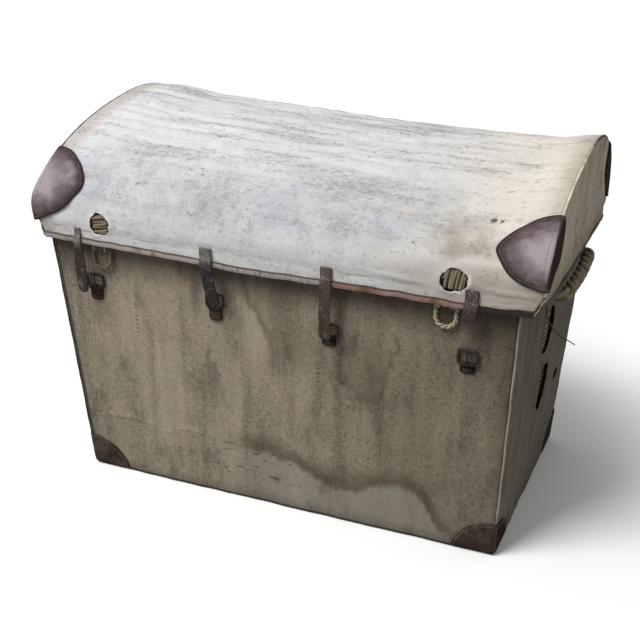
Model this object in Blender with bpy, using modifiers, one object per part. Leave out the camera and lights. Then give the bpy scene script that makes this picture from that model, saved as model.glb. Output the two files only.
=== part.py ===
"""Dome-topped wicker trunk in a canvas cover, with leather corners, straps and rope handles.

Metres, +Z up. The trunk stands closed on z = 0 with its front toward -Y, and x = y = 0 lies
under the middle of the lid.
"""

import math

import bmesh
import bpy
from mathutils import Matrix, Vector

# Wicker body. Length and depth are over the canvas at the rim, and the walls lean in below it.
BODY_LENGTH = 0.880
BODY_DEPTH = 0.540
BODY_HEIGHT = 0.520
BODY_TAPER = 0.033
WICKER = 0.012
BASE_THICKNESS = 0.014
STAKE_RADIUS = 0.004
STAKE_PITCH = 0.058
BORDER_WIDTH = 0.022
BORDER_HEIGHT = 0.014
CORNER_ROUND = 0.012

# Domed lid. The rise is from the top of its border to the crown. The crown lies behind the middle:
# the lean is the share by which the arch is lower in front and higher at the back.
LID_RISE = 0.160
DOME_POWER = 2.375
DOME_LEAN = 0.25
ARC_STEPS = 28
# The dome has settled between its end hoops: the share of the way from the left end to the right
# end, and how far the crown lies below its full height there
DOME_SETTLED = (
    (0.0, 0.002), (0.05, 0.0005), (0.08, 0.002), (0.11, 0.006), (0.14, 0.0105), (0.17, 0.014),
    (0.28, 0.017), (0.40, 0.021), (0.52, 0.0245), (0.66, 0.0262), (0.80, 0.0262), (0.90, 0.0248),
    (0.93, 0.0215), (0.955, 0.0165), (0.98, 0.0115), (1.0, 0.010),
)

# Canvas cover, the welts sewn into its corners, and the skirt that hangs from the lid
CANVAS = 0.0015
WELT_RADIUS = 0.0025
WELT_PROUD = 0.0006
SKIRT_DROP = 0.037
SKIRT_TUCK = 0.004
BINDING = 0.002
BINDING_HEIGHT = 0.010
HASP_HOLE_WIDTH = 0.038
HASP_HOLE_HEIGHT = 0.040
HASP_HOLE_RISE = 0.006

# Rents in the right end's canvas: forward of the middle, above the floor, width, height
RENTS = ((0.021, 0.355, 0.085, 0.095), (0.001, 0.232, 0.080, 0.095), (-0.149, 0.192, 0.045, 0.022))

# Leather corners, on the lid and at the foot
LEATHER = 0.0025
LEATHER_ROUND = 0.003
LID_CORNER_LENGTH = 0.090
LID_CORNER_DEPTH = 0.085
LID_CORNER_HEIGHT = 0.112
FOOT_CORNER_LENGTH = 0.083
FOOT_CORNER_DEPTH = 0.083
FOOT_CORNER_HEIGHT = 0.068

# Leather hinge straps at the back
HINGE_FROM_END = 0.170
HINGE_WIDTH = 0.045
HINGE_LEAF = 0.075
HINGE_LEATHER = 0.003

# Front straps: the distance in from the left or the right end, and the length
STRAPS = {
    "strap_1": ("left", 0.060, 0.122),
    "strap_2": ("left", 0.3155, 0.101),
    "strap_3": ("right", 0.3415, 0.1285),
    "strap_4": ("right", 0.094, 0.056),
}
# How far the loose part of a strap leans sideways, as a share of how far it drops
STRAP_LEAN_SHARE = {"strap_1": 0.045, "strap_2": 0.25, "strap_3": 0.01, "strap_4": -0.15}
STRAP_WIDTH = 0.023
STRAP_LEATHER = 0.003
STRAP_SETBACK = 0.006
STRAP_STEP = 0.004
STRAP_TIP = 0.007

# Buckles: distance in from the left or the right end, and how far the heel bar is below the rim
BUCKLES = {
    "buckle_1": ("left", 0.0762, 0.125),
    "buckle_2": ("left", 0.3198, 0.124),
    "buckle_3": ("right", 0.3442, 0.142),
    "buckle_4": ("right", 0.0994, 0.146),
}
BUCKLE_WIDTH = 0.032
BUCKLE_HEIGHT = 0.024
BUCKLE_WIRE = 0.0019
BUCKLE_ROUND = 0.005
PRONG_WIRE = 0.0014
PRONG_PAST = 0.003
CHAPE_WIDTH = 0.020
CHAPE_LENGTH = 0.026
CHAPE_LEATHER = 0.0022
CHAPE_ROUND = 0.006
PRONG_SIDE = 0.0008

# Willow hasp loops: distance in from the left or the right end
HASPS = {"left": 0.097, "right": 0.139}
HASP_WIDTH = 0.036
HASP_DROP = 0.040
HASP_ROD = 0.0030
LASHING_ROD = 0.0018
LASHING_SPREAD = 0.022
HASP_BELOW = 0.001

# Rope handles
ROPE_RADIUS = 0.011
ROPE_HOLE = 0.0006
HANDLE_SPAN = 0.240
HANDLE_BEND = 0.024
HANDLE_BOW = 0.012
HANDLE_BELOW = 0.008
ROPE_STUB = 0.001

# Willow rod that has come loose below the right handle. Its run is points out from the wall and
# down from the hem.
LOOSE_ROD = 0.0016
LOOSE_BESIDE = 0.0065
LOOSE_RUN = (
    (0.0, -0.004), (0.004, -0.014), (0.010, -0.025), (0.009, -0.046), (0.0124, -0.063),
    (0.0223, -0.077), (0.0335, -0.088), (0.048, -0.093), (0.059, -0.099),
)

# Between pieces that touch
GAP = 0.0003

WILLOW_LOOK = ((0.30, 0.19, 0.09, 1.0), 0.75, 0.0)
COVER_LOOK = ((0.21, 0.17, 0.13, 1.0), 0.90, 0.0)
LID_LOOK = ((0.55, 0.54, 0.52, 1.0), 0.90, 0.0)
LEATHER_LOOK = ((0.075, 0.05, 0.045, 1.0), 0.55, 0.0)
BINDING_LOOK = ((0.36, 0.24, 0.18, 1.0), 0.65, 0.0)
IRON_LOOK = ((0.06, 0.055, 0.05, 1.0), 0.55, 0.8)
ROPE_LOOK = ((0.33, 0.27, 0.19, 1.0), 0.85, 0.0)

# Sizes that follow from those above
BINDING_LAYER = GAP + BINDING
LASHING_EYE = HASP_ROD + GAP + LASHING_ROD
LASHING_REACH = LASHING_EYE + LASHING_ROD
LID_OVERHANG = SKIRT_TUCK + CANVAS + BINDING_LAYER + GAP + 2 * LASHING_REACH
LINING = CANVAS + GAP
WELT_INSET = WELT_RADIUS - WELT_PROUD
WELT_SPACE = WELT_INSET + WELT_RADIUS + GAP
LEATHER_LIFT = WELT_PROUD + GAP
BODY_MIDDLE = LID_OVERHANG / 2
COVER_LOW = LEATHER + GAP
BASE_LOW = COVER_LOW + CANVAS + GAP
WALL_LOW = BASE_LOW + BASE_THICKNESS + GAP
WALL_HIGH = BODY_HEIGHT - BORDER_HEIGHT - GAP
LID_LOW = BODY_HEIGHT + GAP
SPRING = LID_LOW + BORDER_HEIGHT + GAP
LID_HALF_LENGTH = BODY_LENGTH / 2 + LID_OVERHANG
LID_HALF_DEPTH = (BODY_DEPTH + LID_OVERHANG) / 2
SKIRT_LOW = BODY_HEIGHT - SKIRT_DROP
HINGE_AXIS = Vector((0.0, LID_HALF_DEPTH + GAP + HINGE_LEATHER + GAP, BODY_HEIGHT + GAP / 2))

for old in list(bpy.data.objects):
    bpy.data.objects.remove(old, do_unlink=True)
parts = bpy.data.collections.new("wicker_trunk")
bpy.context.scene.collection.children.link(parts)
cutters = bpy.data.collections.new("cutters")
bpy.context.scene.collection.children.link(cutters)


def half_length(z):
    """Half the body's length over its canvas at a height."""
    return BODY_LENGTH / 2 - BODY_TAPER * (1 - z / BODY_HEIGHT)


def half_depth(z):
    """Half the body's depth over its canvas at a height."""
    return BODY_DEPTH / 2 - BODY_TAPER * (1 - z / BODY_HEIGHT)


def skirt_tuck(z):
    """How far the skirt has drawn in from the lid's outer face at a height."""
    return SKIRT_TUCK * (BODY_HEIGHT - z) / SKIRT_DROP


def from_end(end, distance):
    """The x that lies a distance in from the left or the right end of the body's rim."""
    return distance - BODY_LENGTH / 2 if end == "left" else BODY_LENGTH / 2 - distance


def hinge_empty(name, place, parent=None):
    """An empty on a joint's axis, for the pieces that turn there."""
    empty = bpy.data.objects.new(name, None)
    parts.objects.link(empty)
    empty.location = place if parent is None else Vector(place) - parent.location
    empty.parent = parent
    return empty


def add_part(name, data, look, turns_on=None):
    """A named part with its own material, hung on its joint's empty if it has one."""
    piece = bpy.data.objects.new(name, data)
    parts.objects.link(piece)
    material = bpy.data.materials.new(name)
    material.use_nodes = True
    shader = material.node_tree.nodes["Principled BSDF"]
    colour, roughness, metallic = look
    shader.inputs["Base Color"].default_value = colour
    shader.inputs["Roughness"].default_value = roughness
    shader.inputs["Metallic"].default_value = metallic
    material.diffuse_color = colour
    data.materials.append(material)
    if turns_on is not None:
        bpy.context.view_layer.update()
        piece.parent = turns_on
        piece.matrix_parent_inverse = turns_on.matrix_world.inverted()
    return piece


def add_cutter(name, data):
    """A shape that only cuts or joins others."""
    cutter = bpy.data.objects.new(name, data)
    cutters.objects.link(cutter)
    cutter.hide_render = True
    cutter.display_type = "WIRE"
    return cutter


def boolean(piece, other, operation):
    """Leaves a Boolean with the exact solver on a piece."""
    modifier = piece.modifiers.new(operation.lower(), "BOOLEAN")
    modifier.operation = operation
    modifier.solver = "EXACT"
    modifier.object = other


def block(name, place, corner=0.0):
    """A cube whose corners go to place(sx, sy, sz), its upright edges rounded."""
    shape = bmesh.new()
    bmesh.ops.create_cube(shape, size=2.0)
    for vertex in shape.verts:
        vertex.co = place(*(round(value) for value in vertex.co))
    if corner:
        upright = [e for e in shape.edges if abs(e.verts[0].co.z - e.verts[1].co.z) > GAP]
        bmesh.ops.bevel(shape, geom=upright, offset=corner, segments=3, profile=0.5, affect="EDGES")
    data = bpy.data.meshes.new(name)
    shape.to_mesh(data)
    shape.free()
    return data


def body_block(name, inset, low, high, corner=0.0):
    """A block with the body's leaning sides, set in from the canvas's outer face."""

    def place(sx, sy, sz):
        z = high if sz > 0 else low
        return (sx * (half_length(z) - inset), BODY_MIDDLE + sy * (half_depth(z) - inset), z)

    return block(name, place, corner)


def wall_slab(name, side, low, high, inset, thickness, margin):
    """One leaning wall, set in from the canvas's outer face and stopping short of the corners."""
    along_x = side in ("front", "back")
    sign = 1 if side in ("back", "right") else -1

    def place(sx, sy, sz):
        z = high if sz > 0 else low
        across, outward = (sx, sy * sign) if along_x else (sy, sx * sign)
        depth = inset if outward > 0 else inset + thickness
        if along_x:
            return (across * (half_length(z) - margin), BODY_MIDDLE + sign * (half_depth(z) - depth), z)
        return (sign * (half_length(z) - depth), BODY_MIDDLE + across * (half_depth(z) - margin), z)

    return block(name, place)


def tube(name, runs, radius, resolution=2, cyclic=False, radii=None):
    """Round rods or rope along runs of points, with closed ends."""
    curve = bpy.data.curves.new(name, "CURVE")
    curve.dimensions = "3D"
    curve.bevel_depth = radius
    curve.bevel_resolution = resolution
    curve.use_fill_caps = not cyclic
    for run in runs:
        spline = curve.splines.new("POLY")
        spline.points.add(len(run) - 1)
        for index, (point, place) in enumerate(zip(spline.points, run)):
            point.co = (*place, 1.0)
            point.radius = 1.0 if radii is None else radii[index]
        spline.use_cyclic_u = cyclic
    return curve


def as_mesh(curve, turn=None):
    """The mesh of a curve, its caps welded on, turned into place."""
    holder = bpy.data.objects.new(curve.name, curve)
    cutters.objects.link(holder)
    graph = bpy.context.evaluated_depsgraph_get()
    data = bpy.data.meshes.new_from_object(holder.evaluated_get(graph))
    bpy.data.objects.remove(holder, do_unlink=True)
    shape = bmesh.new()
    shape.from_mesh(data)
    bmesh.ops.remove_doubles(shape, verts=shape.verts, dist=1e-6)
    shape.to_mesh(data)
    shape.free()
    if turn is not None:
        data.transform(turn)
    return data


def profile(name, outlines, left, right):
    """Outlines of (y, z) points carried along X from left to right. An inner outline is a hole."""
    curve = bpy.data.curves.new(name, "CURVE")
    curve.dimensions = "2D"
    curve.fill_mode = "BOTH"
    curve.extrude = (right - left) / 2
    for outline in outlines:
        spline = curve.splines.new("POLY")
        spline.points.add(len(outline) - 1)
        for point, (y, z) in zip(spline.points, outline):
            point.co = (y, z, 0.0, 1.0)
        spline.use_cyclic_u = True
    turn = Matrix(((0, 0, 1, (left + right) / 2), (1, 0, 0, 0), (0, 1, 0, 0), (0, 0, 0, 1)))
    return as_mesh(curve, turn)


def round_edges(data, chosen, radius):
    """Rounds the edges of a mesh for whose two ends chosen(a, b) holds."""
    shape = bmesh.new()
    shape.from_mesh(data)
    edges = [e for e in shape.edges if chosen(e.verts[0].co, e.verts[1].co)]
    bmesh.ops.bevel(shape, geom=edges, offset=radius, segments=3, profile=0.5, affect="EDGES")
    shape.to_mesh(data)
    shape.free()


def end_corners(level):
    """Picks the edges through a strip's thickness at its end, which lies at a level."""

    def picks(a, b):
        return max(abs(a.z - level), abs(b.z - level)) < GAP and abs(a.x - b.x) < GAP

    return picks


def smooth_run(knots, steps):
    """Points on a smooth curve through the knots, with so many steps between two of them."""
    ends = [2 * knots[0] - knots[1], *knots, 2 * knots[-1] - knots[-2]]
    run = []
    for a, b, c, d in zip(ends, ends[1:], ends[2:], ends[3:]):
        for t in (i / steps for i in range(steps)):
            bend = (2 * a - 5 * b + 4 * c - d) * t * t + (3 * b - a - 3 * c + d) * t * t * t
            run.append(b + ((c - a) * t + bend) / 2)
    return [*run, knots[-1]]


def ellipsoid(name, centre, radii):
    """A ball stretched along the axes."""
    shape = bmesh.new()
    bmesh.ops.create_uvsphere(shape, u_segments=28, v_segments=14, radius=1.0)
    data = bpy.data.meshes.new(name)
    shape.to_mesh(data)
    shape.free()
    data.transform(Matrix.Translation(centre) @ Matrix.Diagonal((*radii, 1.0)))
    return data


def oval_punch(name, axis, centre, width, height, length, sides=16):
    """An oval bar along X or Y that cuts a hole of a width and height."""
    shape = bmesh.new()
    bmesh.ops.create_cone(
        shape, cap_ends=True, segments=sides, radius1=0.5, radius2=0.5, depth=length
    )
    data = bpy.data.meshes.new(name)
    shape.to_mesh(data)
    shape.free()
    lay = Matrix.Rotation(math.radians(90), 4, "X" if axis == "Y" else "Y")
    stretch = (width, 1.0, height, 1.0) if axis == "Y" else (1.0, width, height, 1.0)
    data.transform(Matrix.Translation(centre) @ Matrix.Diagonal(stretch) @ lay)
    return data


def corner_bend(start, middle, end, steps=4):
    """Points on the quarter circle from start to end whose tangents meet in middle."""
    start, middle, end = Vector(start), Vector(middle), Vector(end)
    centre = start + end - middle
    turn = [math.pi / 2 * i / steps for i in range(steps + 1)]
    return [centre + (start - centre) * math.cos(a) + (end - centre) * math.sin(a) for a in turn]


def dome_shape(share):
    """The lid's arch at a share of the way from front to back, as parts of its depth and its rise.

    It is a super-ellipse above the spring line, lower before the middle and higher behind it.
    """
    angle = math.pi * (1 - share)
    out = math.copysign(abs(math.cos(angle)) ** (2 / DOME_POWER), math.cos(angle))
    return out, abs(math.sin(angle)) ** (2 / DOME_POWER) * (1 + DOME_LEAN * out)


DOME_PEAK = max(dome_shape(step / 200)[1] for step in range(201))


def dome_arc(inset, low):
    """Points (y, z) over the lid from front to back, set in from the canvas's outer face."""
    arc = []
    for step in range(ARC_STEPS + 1):
        out, up = dome_shape(step / ARC_STEPS)
        arc.append(((LID_HALF_DEPTH - inset) * out, SPRING + (LID_RISE / DOME_PEAK - inset) * up))
    if low < SPRING:
        arc = [(arc[0][0], low), *arc, (arc[-1][0], low)]
    return arc


def dome_depth(z, inset, toward):
    """How far the lid's arch is from its middle at a height, in front (-1) or at the back (1)."""
    rising = dome_arc(inset, LID_LOW)[::-toward]
    for (near, low), (far, high) in zip(rising, rising[1:]):
        if low <= z <= high:
            return abs(near + (far - near) * (z - low) / (high - low))


def settled(data):
    """Lowers a mesh of the lid as the dome has settled, each part in proportion to its height.

    The mesh is first cut across at every place of DOME_SETTLED and made of triangles.
    """
    places = [LID_HALF_LENGTH * (2 * share - 1) for share, _ in DOME_SETTLED]
    shape = bmesh.new()
    shape.from_mesh(data)
    for x in places:
        whole = shape.verts[:] + shape.edges[:] + shape.faces[:]
        bmesh.ops.bisect_plane(shape, geom=whole, dist=GAP / 30, plane_co=(x, 0, 0), plane_no=(1, 0, 0))
    bmesh.ops.triangulate(shape, faces=shape.faces[:])
    for vertex in shape.verts:
        x, up = vertex.co.x, max(0.0, vertex.co.z - SPRING) / LID_RISE
        past = sum(place <= x for place in places)
        before, after = max(past - 1, 0), min(past, len(places) - 1)
        (_, first), (_, last) = DOME_SETTLED[before], DOME_SETTLED[after]
        reach = places[after] - places[before]
        share = (x - places[before]) / reach if reach else 0.0
        vertex.co.z -= up * (first + (last - first) * share)
    shape.to_mesh(data)
    shape.free()
    return data


# Woven base and walls. The upright stakes show as ribs on the inner face of each wall.
base = body_block("wicker_base", LINING, BASE_LOW, BASE_LOW + BASE_THICKNESS, CORNER_ROUND)
add_part("wicker_base", base, WILLOW_LOOK)

walls = {}
for side in ("front", "back", "left", "right"):
    name = f"wicker_{side}_wall"
    along_x = side in ("front", "back")
    sign = 1 if side in ("back", "right") else -1
    margin = WELT_SPACE if along_x else LINING + WICKER + GAP
    wall = wall_slab(name, side, WALL_LOW, WALL_HIGH, LINING, WICKER, margin)
    walls[side] = add_part(name, wall, WILLOW_LOOK)
    face = LINING + WICKER
    low, high = WALL_LOW + STAKE_RADIUS, WALL_HIGH - STAKE_RADIUS
    room = (half_length(low) if along_x else half_depth(low)) - face - 4 * STAKE_RADIUS
    count = 2 * int(room / STAKE_PITCH) + 1
    runs = []
    for place in range(count):
        across = (place - (count - 1) / 2) * STAKE_PITCH
        if along_x:
            ends = [(across, BODY_MIDDLE + sign * (half_depth(z) - face), z) for z in (low, high)]
        else:
            ends = [(sign * (half_length(z) - face), BODY_MIDDLE + across, z) for z in (low, high)]
        runs.append(ends)
    stakes = add_cutter(f"{side}_stakes", as_mesh(tube(f"{side}_stakes", runs, STAKE_RADIUS, 1)))
    boolean(walls[side], stakes, "UNION")

# Border that finishes the body's rim
rim = body_block("body_border", LINING, WALL_HIGH + GAP, BODY_HEIGHT, CORNER_ROUND)
border = add_part("body_border", rim, WILLOW_LOOK)
mouth = body_block("mouth", LINING + BORDER_WIDTH, WALL_LOW, LID_LOW + BORDER_HEIGHT)
boolean(border, add_cutter("mouth", mouth), "DIFFERENCE")

# Canvas on the body. Each end panel carries the welts of its two upright corners.
for side in ("front", "back"):
    panel = wall_slab(f"canvas_{side}", side, COVER_LOW, BODY_HEIGHT, 0.0, CANVAS, WELT_SPACE)
    add_part(f"canvas_{side}", panel, COVER_LOOK)
canvas_ends = {}
for side, sign in (("left", -1), ("right", 1)):
    panel = wall_slab(f"canvas_{side}", side, COVER_LOW, BODY_HEIGHT, 0.0, CANVAS, WELT_INSET)
    canvas_ends[side] = add_part(f"canvas_{side}", panel, COVER_LOOK)
    runs = []
    for toward in (-1, 1):
        runs.append([
            (sign * (half_length(z) - WELT_INSET), BODY_MIDDLE + toward * (half_depth(z) - WELT_INSET), z)
            for z in (COVER_LOW + GAP, BODY_HEIGHT - GAP)
        ])
    welts = add_cutter(f"{side}_welts", as_mesh(tube(f"{side}_welts", runs, WELT_RADIUS)))
    boolean(canvas_ends[side], welts, "UNION")
underside = body_block("canvas_bottom", LINING, COVER_LOW, COVER_LOW + CANVAS, CORNER_ROUND)
add_part("canvas_bottom", underside, COVER_LOOK)
for number, (forward, height, wide, tall) in enumerate(RENTS):
    spot = (half_length(height), BODY_MIDDLE - forward, height)
    rent = oval_punch(f"rent_{number}", "X", spot, wide, tall, 2 * WICKER)
    boolean(canvas_ends["right"], add_cutter(f"rent_{number}", rent), "DIFFERENCE")

# Leather corners at the foot: a shell over the canvas, trimmed to an ellipsoid on the corner
FOOT_TOP = FOOT_CORNER_HEIGHT + CORNER_ROUND
foot_inner = add_cutter("foot_inner", body_block("foot_inner", -LEATHER_LIFT, LEATHER, FOOT_TOP + WICKER))
for depth_name, toward in (("front", -1), ("back", 1)):
    for end_name, sign in (("left", -1), ("right", 1)):
        name = f"foot_corner_{depth_name}_{end_name}"
        corner = (sign * half_length(0.0), BODY_MIDDLE + toward * half_depth(0.0), 0.0)
        shell = add_part(name, body_block(name, -LEATHER_LIFT - LEATHER, 0.0, FOOT_TOP), LEATHER_LOOK)
        soften = shell.modifiers.new("soften", "BEVEL")
        soften.width = LEATHER_ROUND
        soften.segments = 2
        boolean(shell, foot_inner, "DIFFERENCE")
        reach = (FOOT_CORNER_LENGTH, FOOT_CORNER_DEPTH, FOOT_CORNER_HEIGHT)
        boolean(shell, add_cutter(f"{name}_trim", ellipsoid(f"{name}_trim", corner, reach)), "INTERSECT")

# Lid: everything below turns on the leather hinges at the back
lid_hinge = hinge_empty("lid_hinge", HINGE_AXIS)


def lid_block(name, half_x, front, back, low, high, corner=0.0):
    """A plain block of the lid."""

    def place(sx, sy, sz):
        return (sx * half_x, back if sy > 0 else front, high if sz > 0 else low)

    return block(name, place, corner)


edge = LID_HALF_DEPTH - LINING
ring = lid_block("lid_border", LID_HALF_LENGTH - LINING, -edge, edge, LID_LOW, SPRING - GAP, CORNER_ROUND)
lid_border = add_part("lid_border", ring, WILLOW_LOOK, lid_hinge)
inner = BODY_DEPTH / 2 - LINING - BORDER_WIDTH
lid_mouth = lid_block(
    "lid_mouth", BODY_LENGTH / 2 - LINING - BORDER_WIDTH, BODY_MIDDLE - inner, BODY_MIDDLE + inner,
    LID_LOW - WICKER, SPRING + WICKER,
)
boolean(lid_border, add_cutter("lid_mouth", lid_mouth), "DIFFERENCE")

# Woven dome between the two woven ends
inside = LID_HALF_LENGTH - LINING - WICKER
dome = dome_arc(LINING, SPRING) + dome_arc(LINING + WICKER, SPRING)[::-1]
dome = settled(profile("lid_wicker_dome", [dome], GAP - inside, inside - GAP))
add_part("lid_wicker_dome", dome, WILLOW_LOOK, lid_hinge)
for side, sign in (("left", -1), ("right", 1)):
    name = f"lid_wicker_end_{side}"
    faces = sorted((sign * inside, sign * (inside + WICKER)))
    end_panel = settled(profile(name, [dome_arc(WELT_SPACE, SPRING)], *faces))
    add_part(name, end_panel, WILLOW_LOOK, lid_hinge)

# Canvas over the lid, with the welts round its end panels
cover = dome_arc(0.0, LID_LOW) + dome_arc(CANVAS, LID_LOW)[::-1]
span = LID_HALF_LENGTH - WELT_SPACE
cover = settled(profile("lid_canvas_top", [cover], -span, span))
lid_top = add_part("lid_canvas_top", cover, LID_LOOK, lid_hinge)
for side, sign in (("left", -1), ("right", 1)):
    name = f"lid_canvas_end_{side}"
    faces = sorted((sign * (LID_HALF_LENGTH - CANVAS), sign * LID_HALF_LENGTH))
    panel = settled(profile(name, [dome_arc(WELT_INSET, LID_LOW)], *faces))
    lid_end = add_part(name, panel, LID_LOOK, lid_hinge)
    run = [(sign * (LID_HALF_LENGTH - WELT_INSET), y, z) for y, z in dome_arc(WELT_INSET, LID_LOW + GAP)]
    welt = settled(as_mesh(tube(f"lid_welt_{side}", [run], WELT_RADIUS, 1)))
    welt = add_cutter(f"lid_welt_{side}", welt)
    boolean(lid_end, welt, "UNION")


# Skirt that hangs below the lid at the front and the ends, drawn in a little toward its hem
def front_skirt(sx, sy, sz):
    z = BODY_HEIGHT if sz > 0 else SKIRT_LOW
    y = skirt_tuck(z) - LID_HALF_DEPTH + (CANVAS if sy > 0 else 0.0)
    return (sx * (LID_HALF_LENGTH - skirt_tuck(z) - CANVAS - GAP), y, z)


skirt = add_part("lid_skirt_front", block("lid_skirt_front", front_skirt), LID_LOOK, lid_hinge)
for side, sign in (("left", -1), ("right", 1)):

    def end_skirt(sx, sy, sz):
        z = BODY_HEIGHT if sz > 0 else SKIRT_LOW
        x = sign * (LID_HALF_LENGTH - skirt_tuck(z) - (0.0 if sx * sign > 0 else CANVAS))
        return (x, LID_HALF_DEPTH if sy > 0 else skirt_tuck(z) - LID_HALF_DEPTH, z)

    add_part(f"lid_skirt_{side}", block(f"lid_skirt_{side}", end_skirt), LID_LOOK, lid_hinge)
for side, distance in HASPS.items():
    spot = (from_end(side, distance), -LID_HALF_DEPTH, BODY_HEIGHT + HASP_HOLE_RISE)
    hole = oval_punch(f"hasp_hole_{side}", "Y", spot, HASP_HOLE_WIDTH, HASP_HOLE_HEIGHT, 2 * WICKER)
    hole = add_cutter(f"hasp_hole_{side}", hole)
    boolean(lid_top, hole, "DIFFERENCE")
    boolean(skirt, hole, "DIFFERENCE")


# Leather binding: a channel folded over the hem on three sides
def hem_block(name, offset, low, high, past):
    """A block whose front and ends follow the skirt at an offset, running past the lid's back."""

    def place(sx, sy, sz):
        z = high if sz > 0 else low
        y = LID_HALF_DEPTH + past if sy > 0 else skirt_tuck(z) - LID_HALF_DEPTH - offset
        return (sx * (LID_HALF_LENGTH - skirt_tuck(z) + offset), y, z)

    return block(name, place)


hem_low, hem_high = SKIRT_LOW - BINDING_LAYER, SKIRT_LOW + BINDING_HEIGHT
channel = hem_block("lid_binding", BINDING_LAYER, hem_low, hem_high, 0.0)
binding = add_part("lid_binding", channel, BINDING_LOOK, lid_hinge)
within = hem_block("hem_within", -CANVAS - BINDING_LAYER, hem_low - WICKER, hem_high + WICKER, WICKER)
boolean(binding, add_cutter("hem_within", within), "DIFFERENCE")
slot = add_cutter("hem_slot", hem_block("hem_slot", GAP, SKIRT_LOW - GAP, hem_high + WICKER, WICKER))
kept = hem_block("hem_kept", -CANVAS - GAP, hem_low - WICKER, hem_high + 2 * WICKER, 2 * WICKER)
boolean(slot, add_cutter("hem_kept", kept), "DIFFERENCE")
boolean(binding, slot, "DIFFERENCE")

# Leather corners of the lid: a shell over dome and end, trimmed to an ellipsoid on the edge
lift = LEATHER_LIFT
shell_half = LID_HALF_LENGTH + lift
lid_inner = profile("lid_inner", [dome_arc(-lift, LID_LOW - WICKER)], -shell_half, shell_half)
lid_inner = add_cutter("lid_inner", settled(lid_inner))
shell_half = LID_HALF_LENGTH + lift + LEATHER
for depth_name, toward in (("front", -1), ("back", 1)):
    for end_name, sign in (("left", -1), ("right", 1)):
        name = f"lid_corner_{depth_name}_{end_name}"
        shell = profile(name, [dome_arc(-lift - LEATHER, LID_LOW)], -shell_half, shell_half)
        shell = add_part(name, settled(shell), LEATHER_LOOK, lid_hinge)
        soften = shell.modifiers.new("soften", "BEVEL")
        soften.width = LEATHER_ROUND
        soften.segments = 2
        soften.angle_limit = math.radians(50)
        boolean(shell, lid_inner, "DIFFERENCE")
        middle = LID_LOW + GAP + LID_CORNER_HEIGHT / 2
        centre = (sign * LID_HALF_LENGTH, toward * dome_depth(middle, 0.0, toward), middle)
        reach = (LID_CORNER_LENGTH, LID_CORNER_DEPTH, LID_CORNER_HEIGHT / 2)
        boolean(shell, add_cutter(f"{name}_trim", ellipsoid(f"{name}_trim", centre, reach)), "INTERSECT")

# Leather hinge straps: the leaf sewn to the body, and the leaf sewn to the lid
for side in ("left", "right"):
    x = from_end(side, HINGE_FROM_END)

    def leaf(sx, sy, sz):
        z = BODY_HEIGHT - (GAP if sz > 0 else HINGE_LEAF)
        y = BODY_MIDDLE + half_depth(z) + GAP + (HINGE_LEATHER if sy > 0 else 0.0)
        return (x + sx * HINGE_WIDTH / 2, y, z)

    add_part(f"hinge_{side}_lower", block(f"hinge_{side}_lower", leaf), LEATHER_LOOK)
    levels = [LID_LOW + GAP + (HINGE_LEAF - 2 * GAP) * i / 8 for i in range(9)]
    outline = [(dome_depth(z, -GAP, 1), z) for z in levels]
    outline += [(dome_depth(z, -GAP - HINGE_LEATHER, 1), z) for z in reversed(levels)]
    upper = profile(f"hinge_{side}_upper", [outline], x - HINGE_WIDTH / 2, x + HINGE_WIDTH / 2)
    add_part(f"hinge_{side}_upper", settled(upper), LEATHER_LOOK, lid_hinge)

# Front straps: each lies on the skirt, steps over the binding and hangs in front of the body
for name, (end, distance, length) in STRAPS.items():
    x = from_end(end, distance)
    top = BODY_HEIGHT - STRAP_SETBACK
    heights = (top, hem_high + STRAP_STEP, hem_high + GAP, top - length)
    back = [skirt_tuck(z) - LID_HALF_DEPTH - GAP for z in heights[:2]]
    back += [skirt_tuck(heights[2]) - LID_HALF_DEPTH - BINDING_LAYER - GAP] * 2
    outline = list(zip(back, heights)) + [(y - STRAP_LEATHER, z) for y, z in zip(back, heights)][::-1]
    strip = profile(name, [outline], x - STRAP_WIDTH / 2, x + STRAP_WIDTH / 2)
    round_edges(strip, end_corners(heights[3]), STRAP_TIP)
    for vertex in strip.vertices:
        vertex.co.x += STRAP_LEAN_SHARE[name] * max(0.0, hem_low - vertex.co.z)
    pivot = hinge_empty(f"{name}_hinge", (x, back[0], top), lid_hinge)
    add_part(name, strip, LEATHER_LOOK, pivot)

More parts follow.
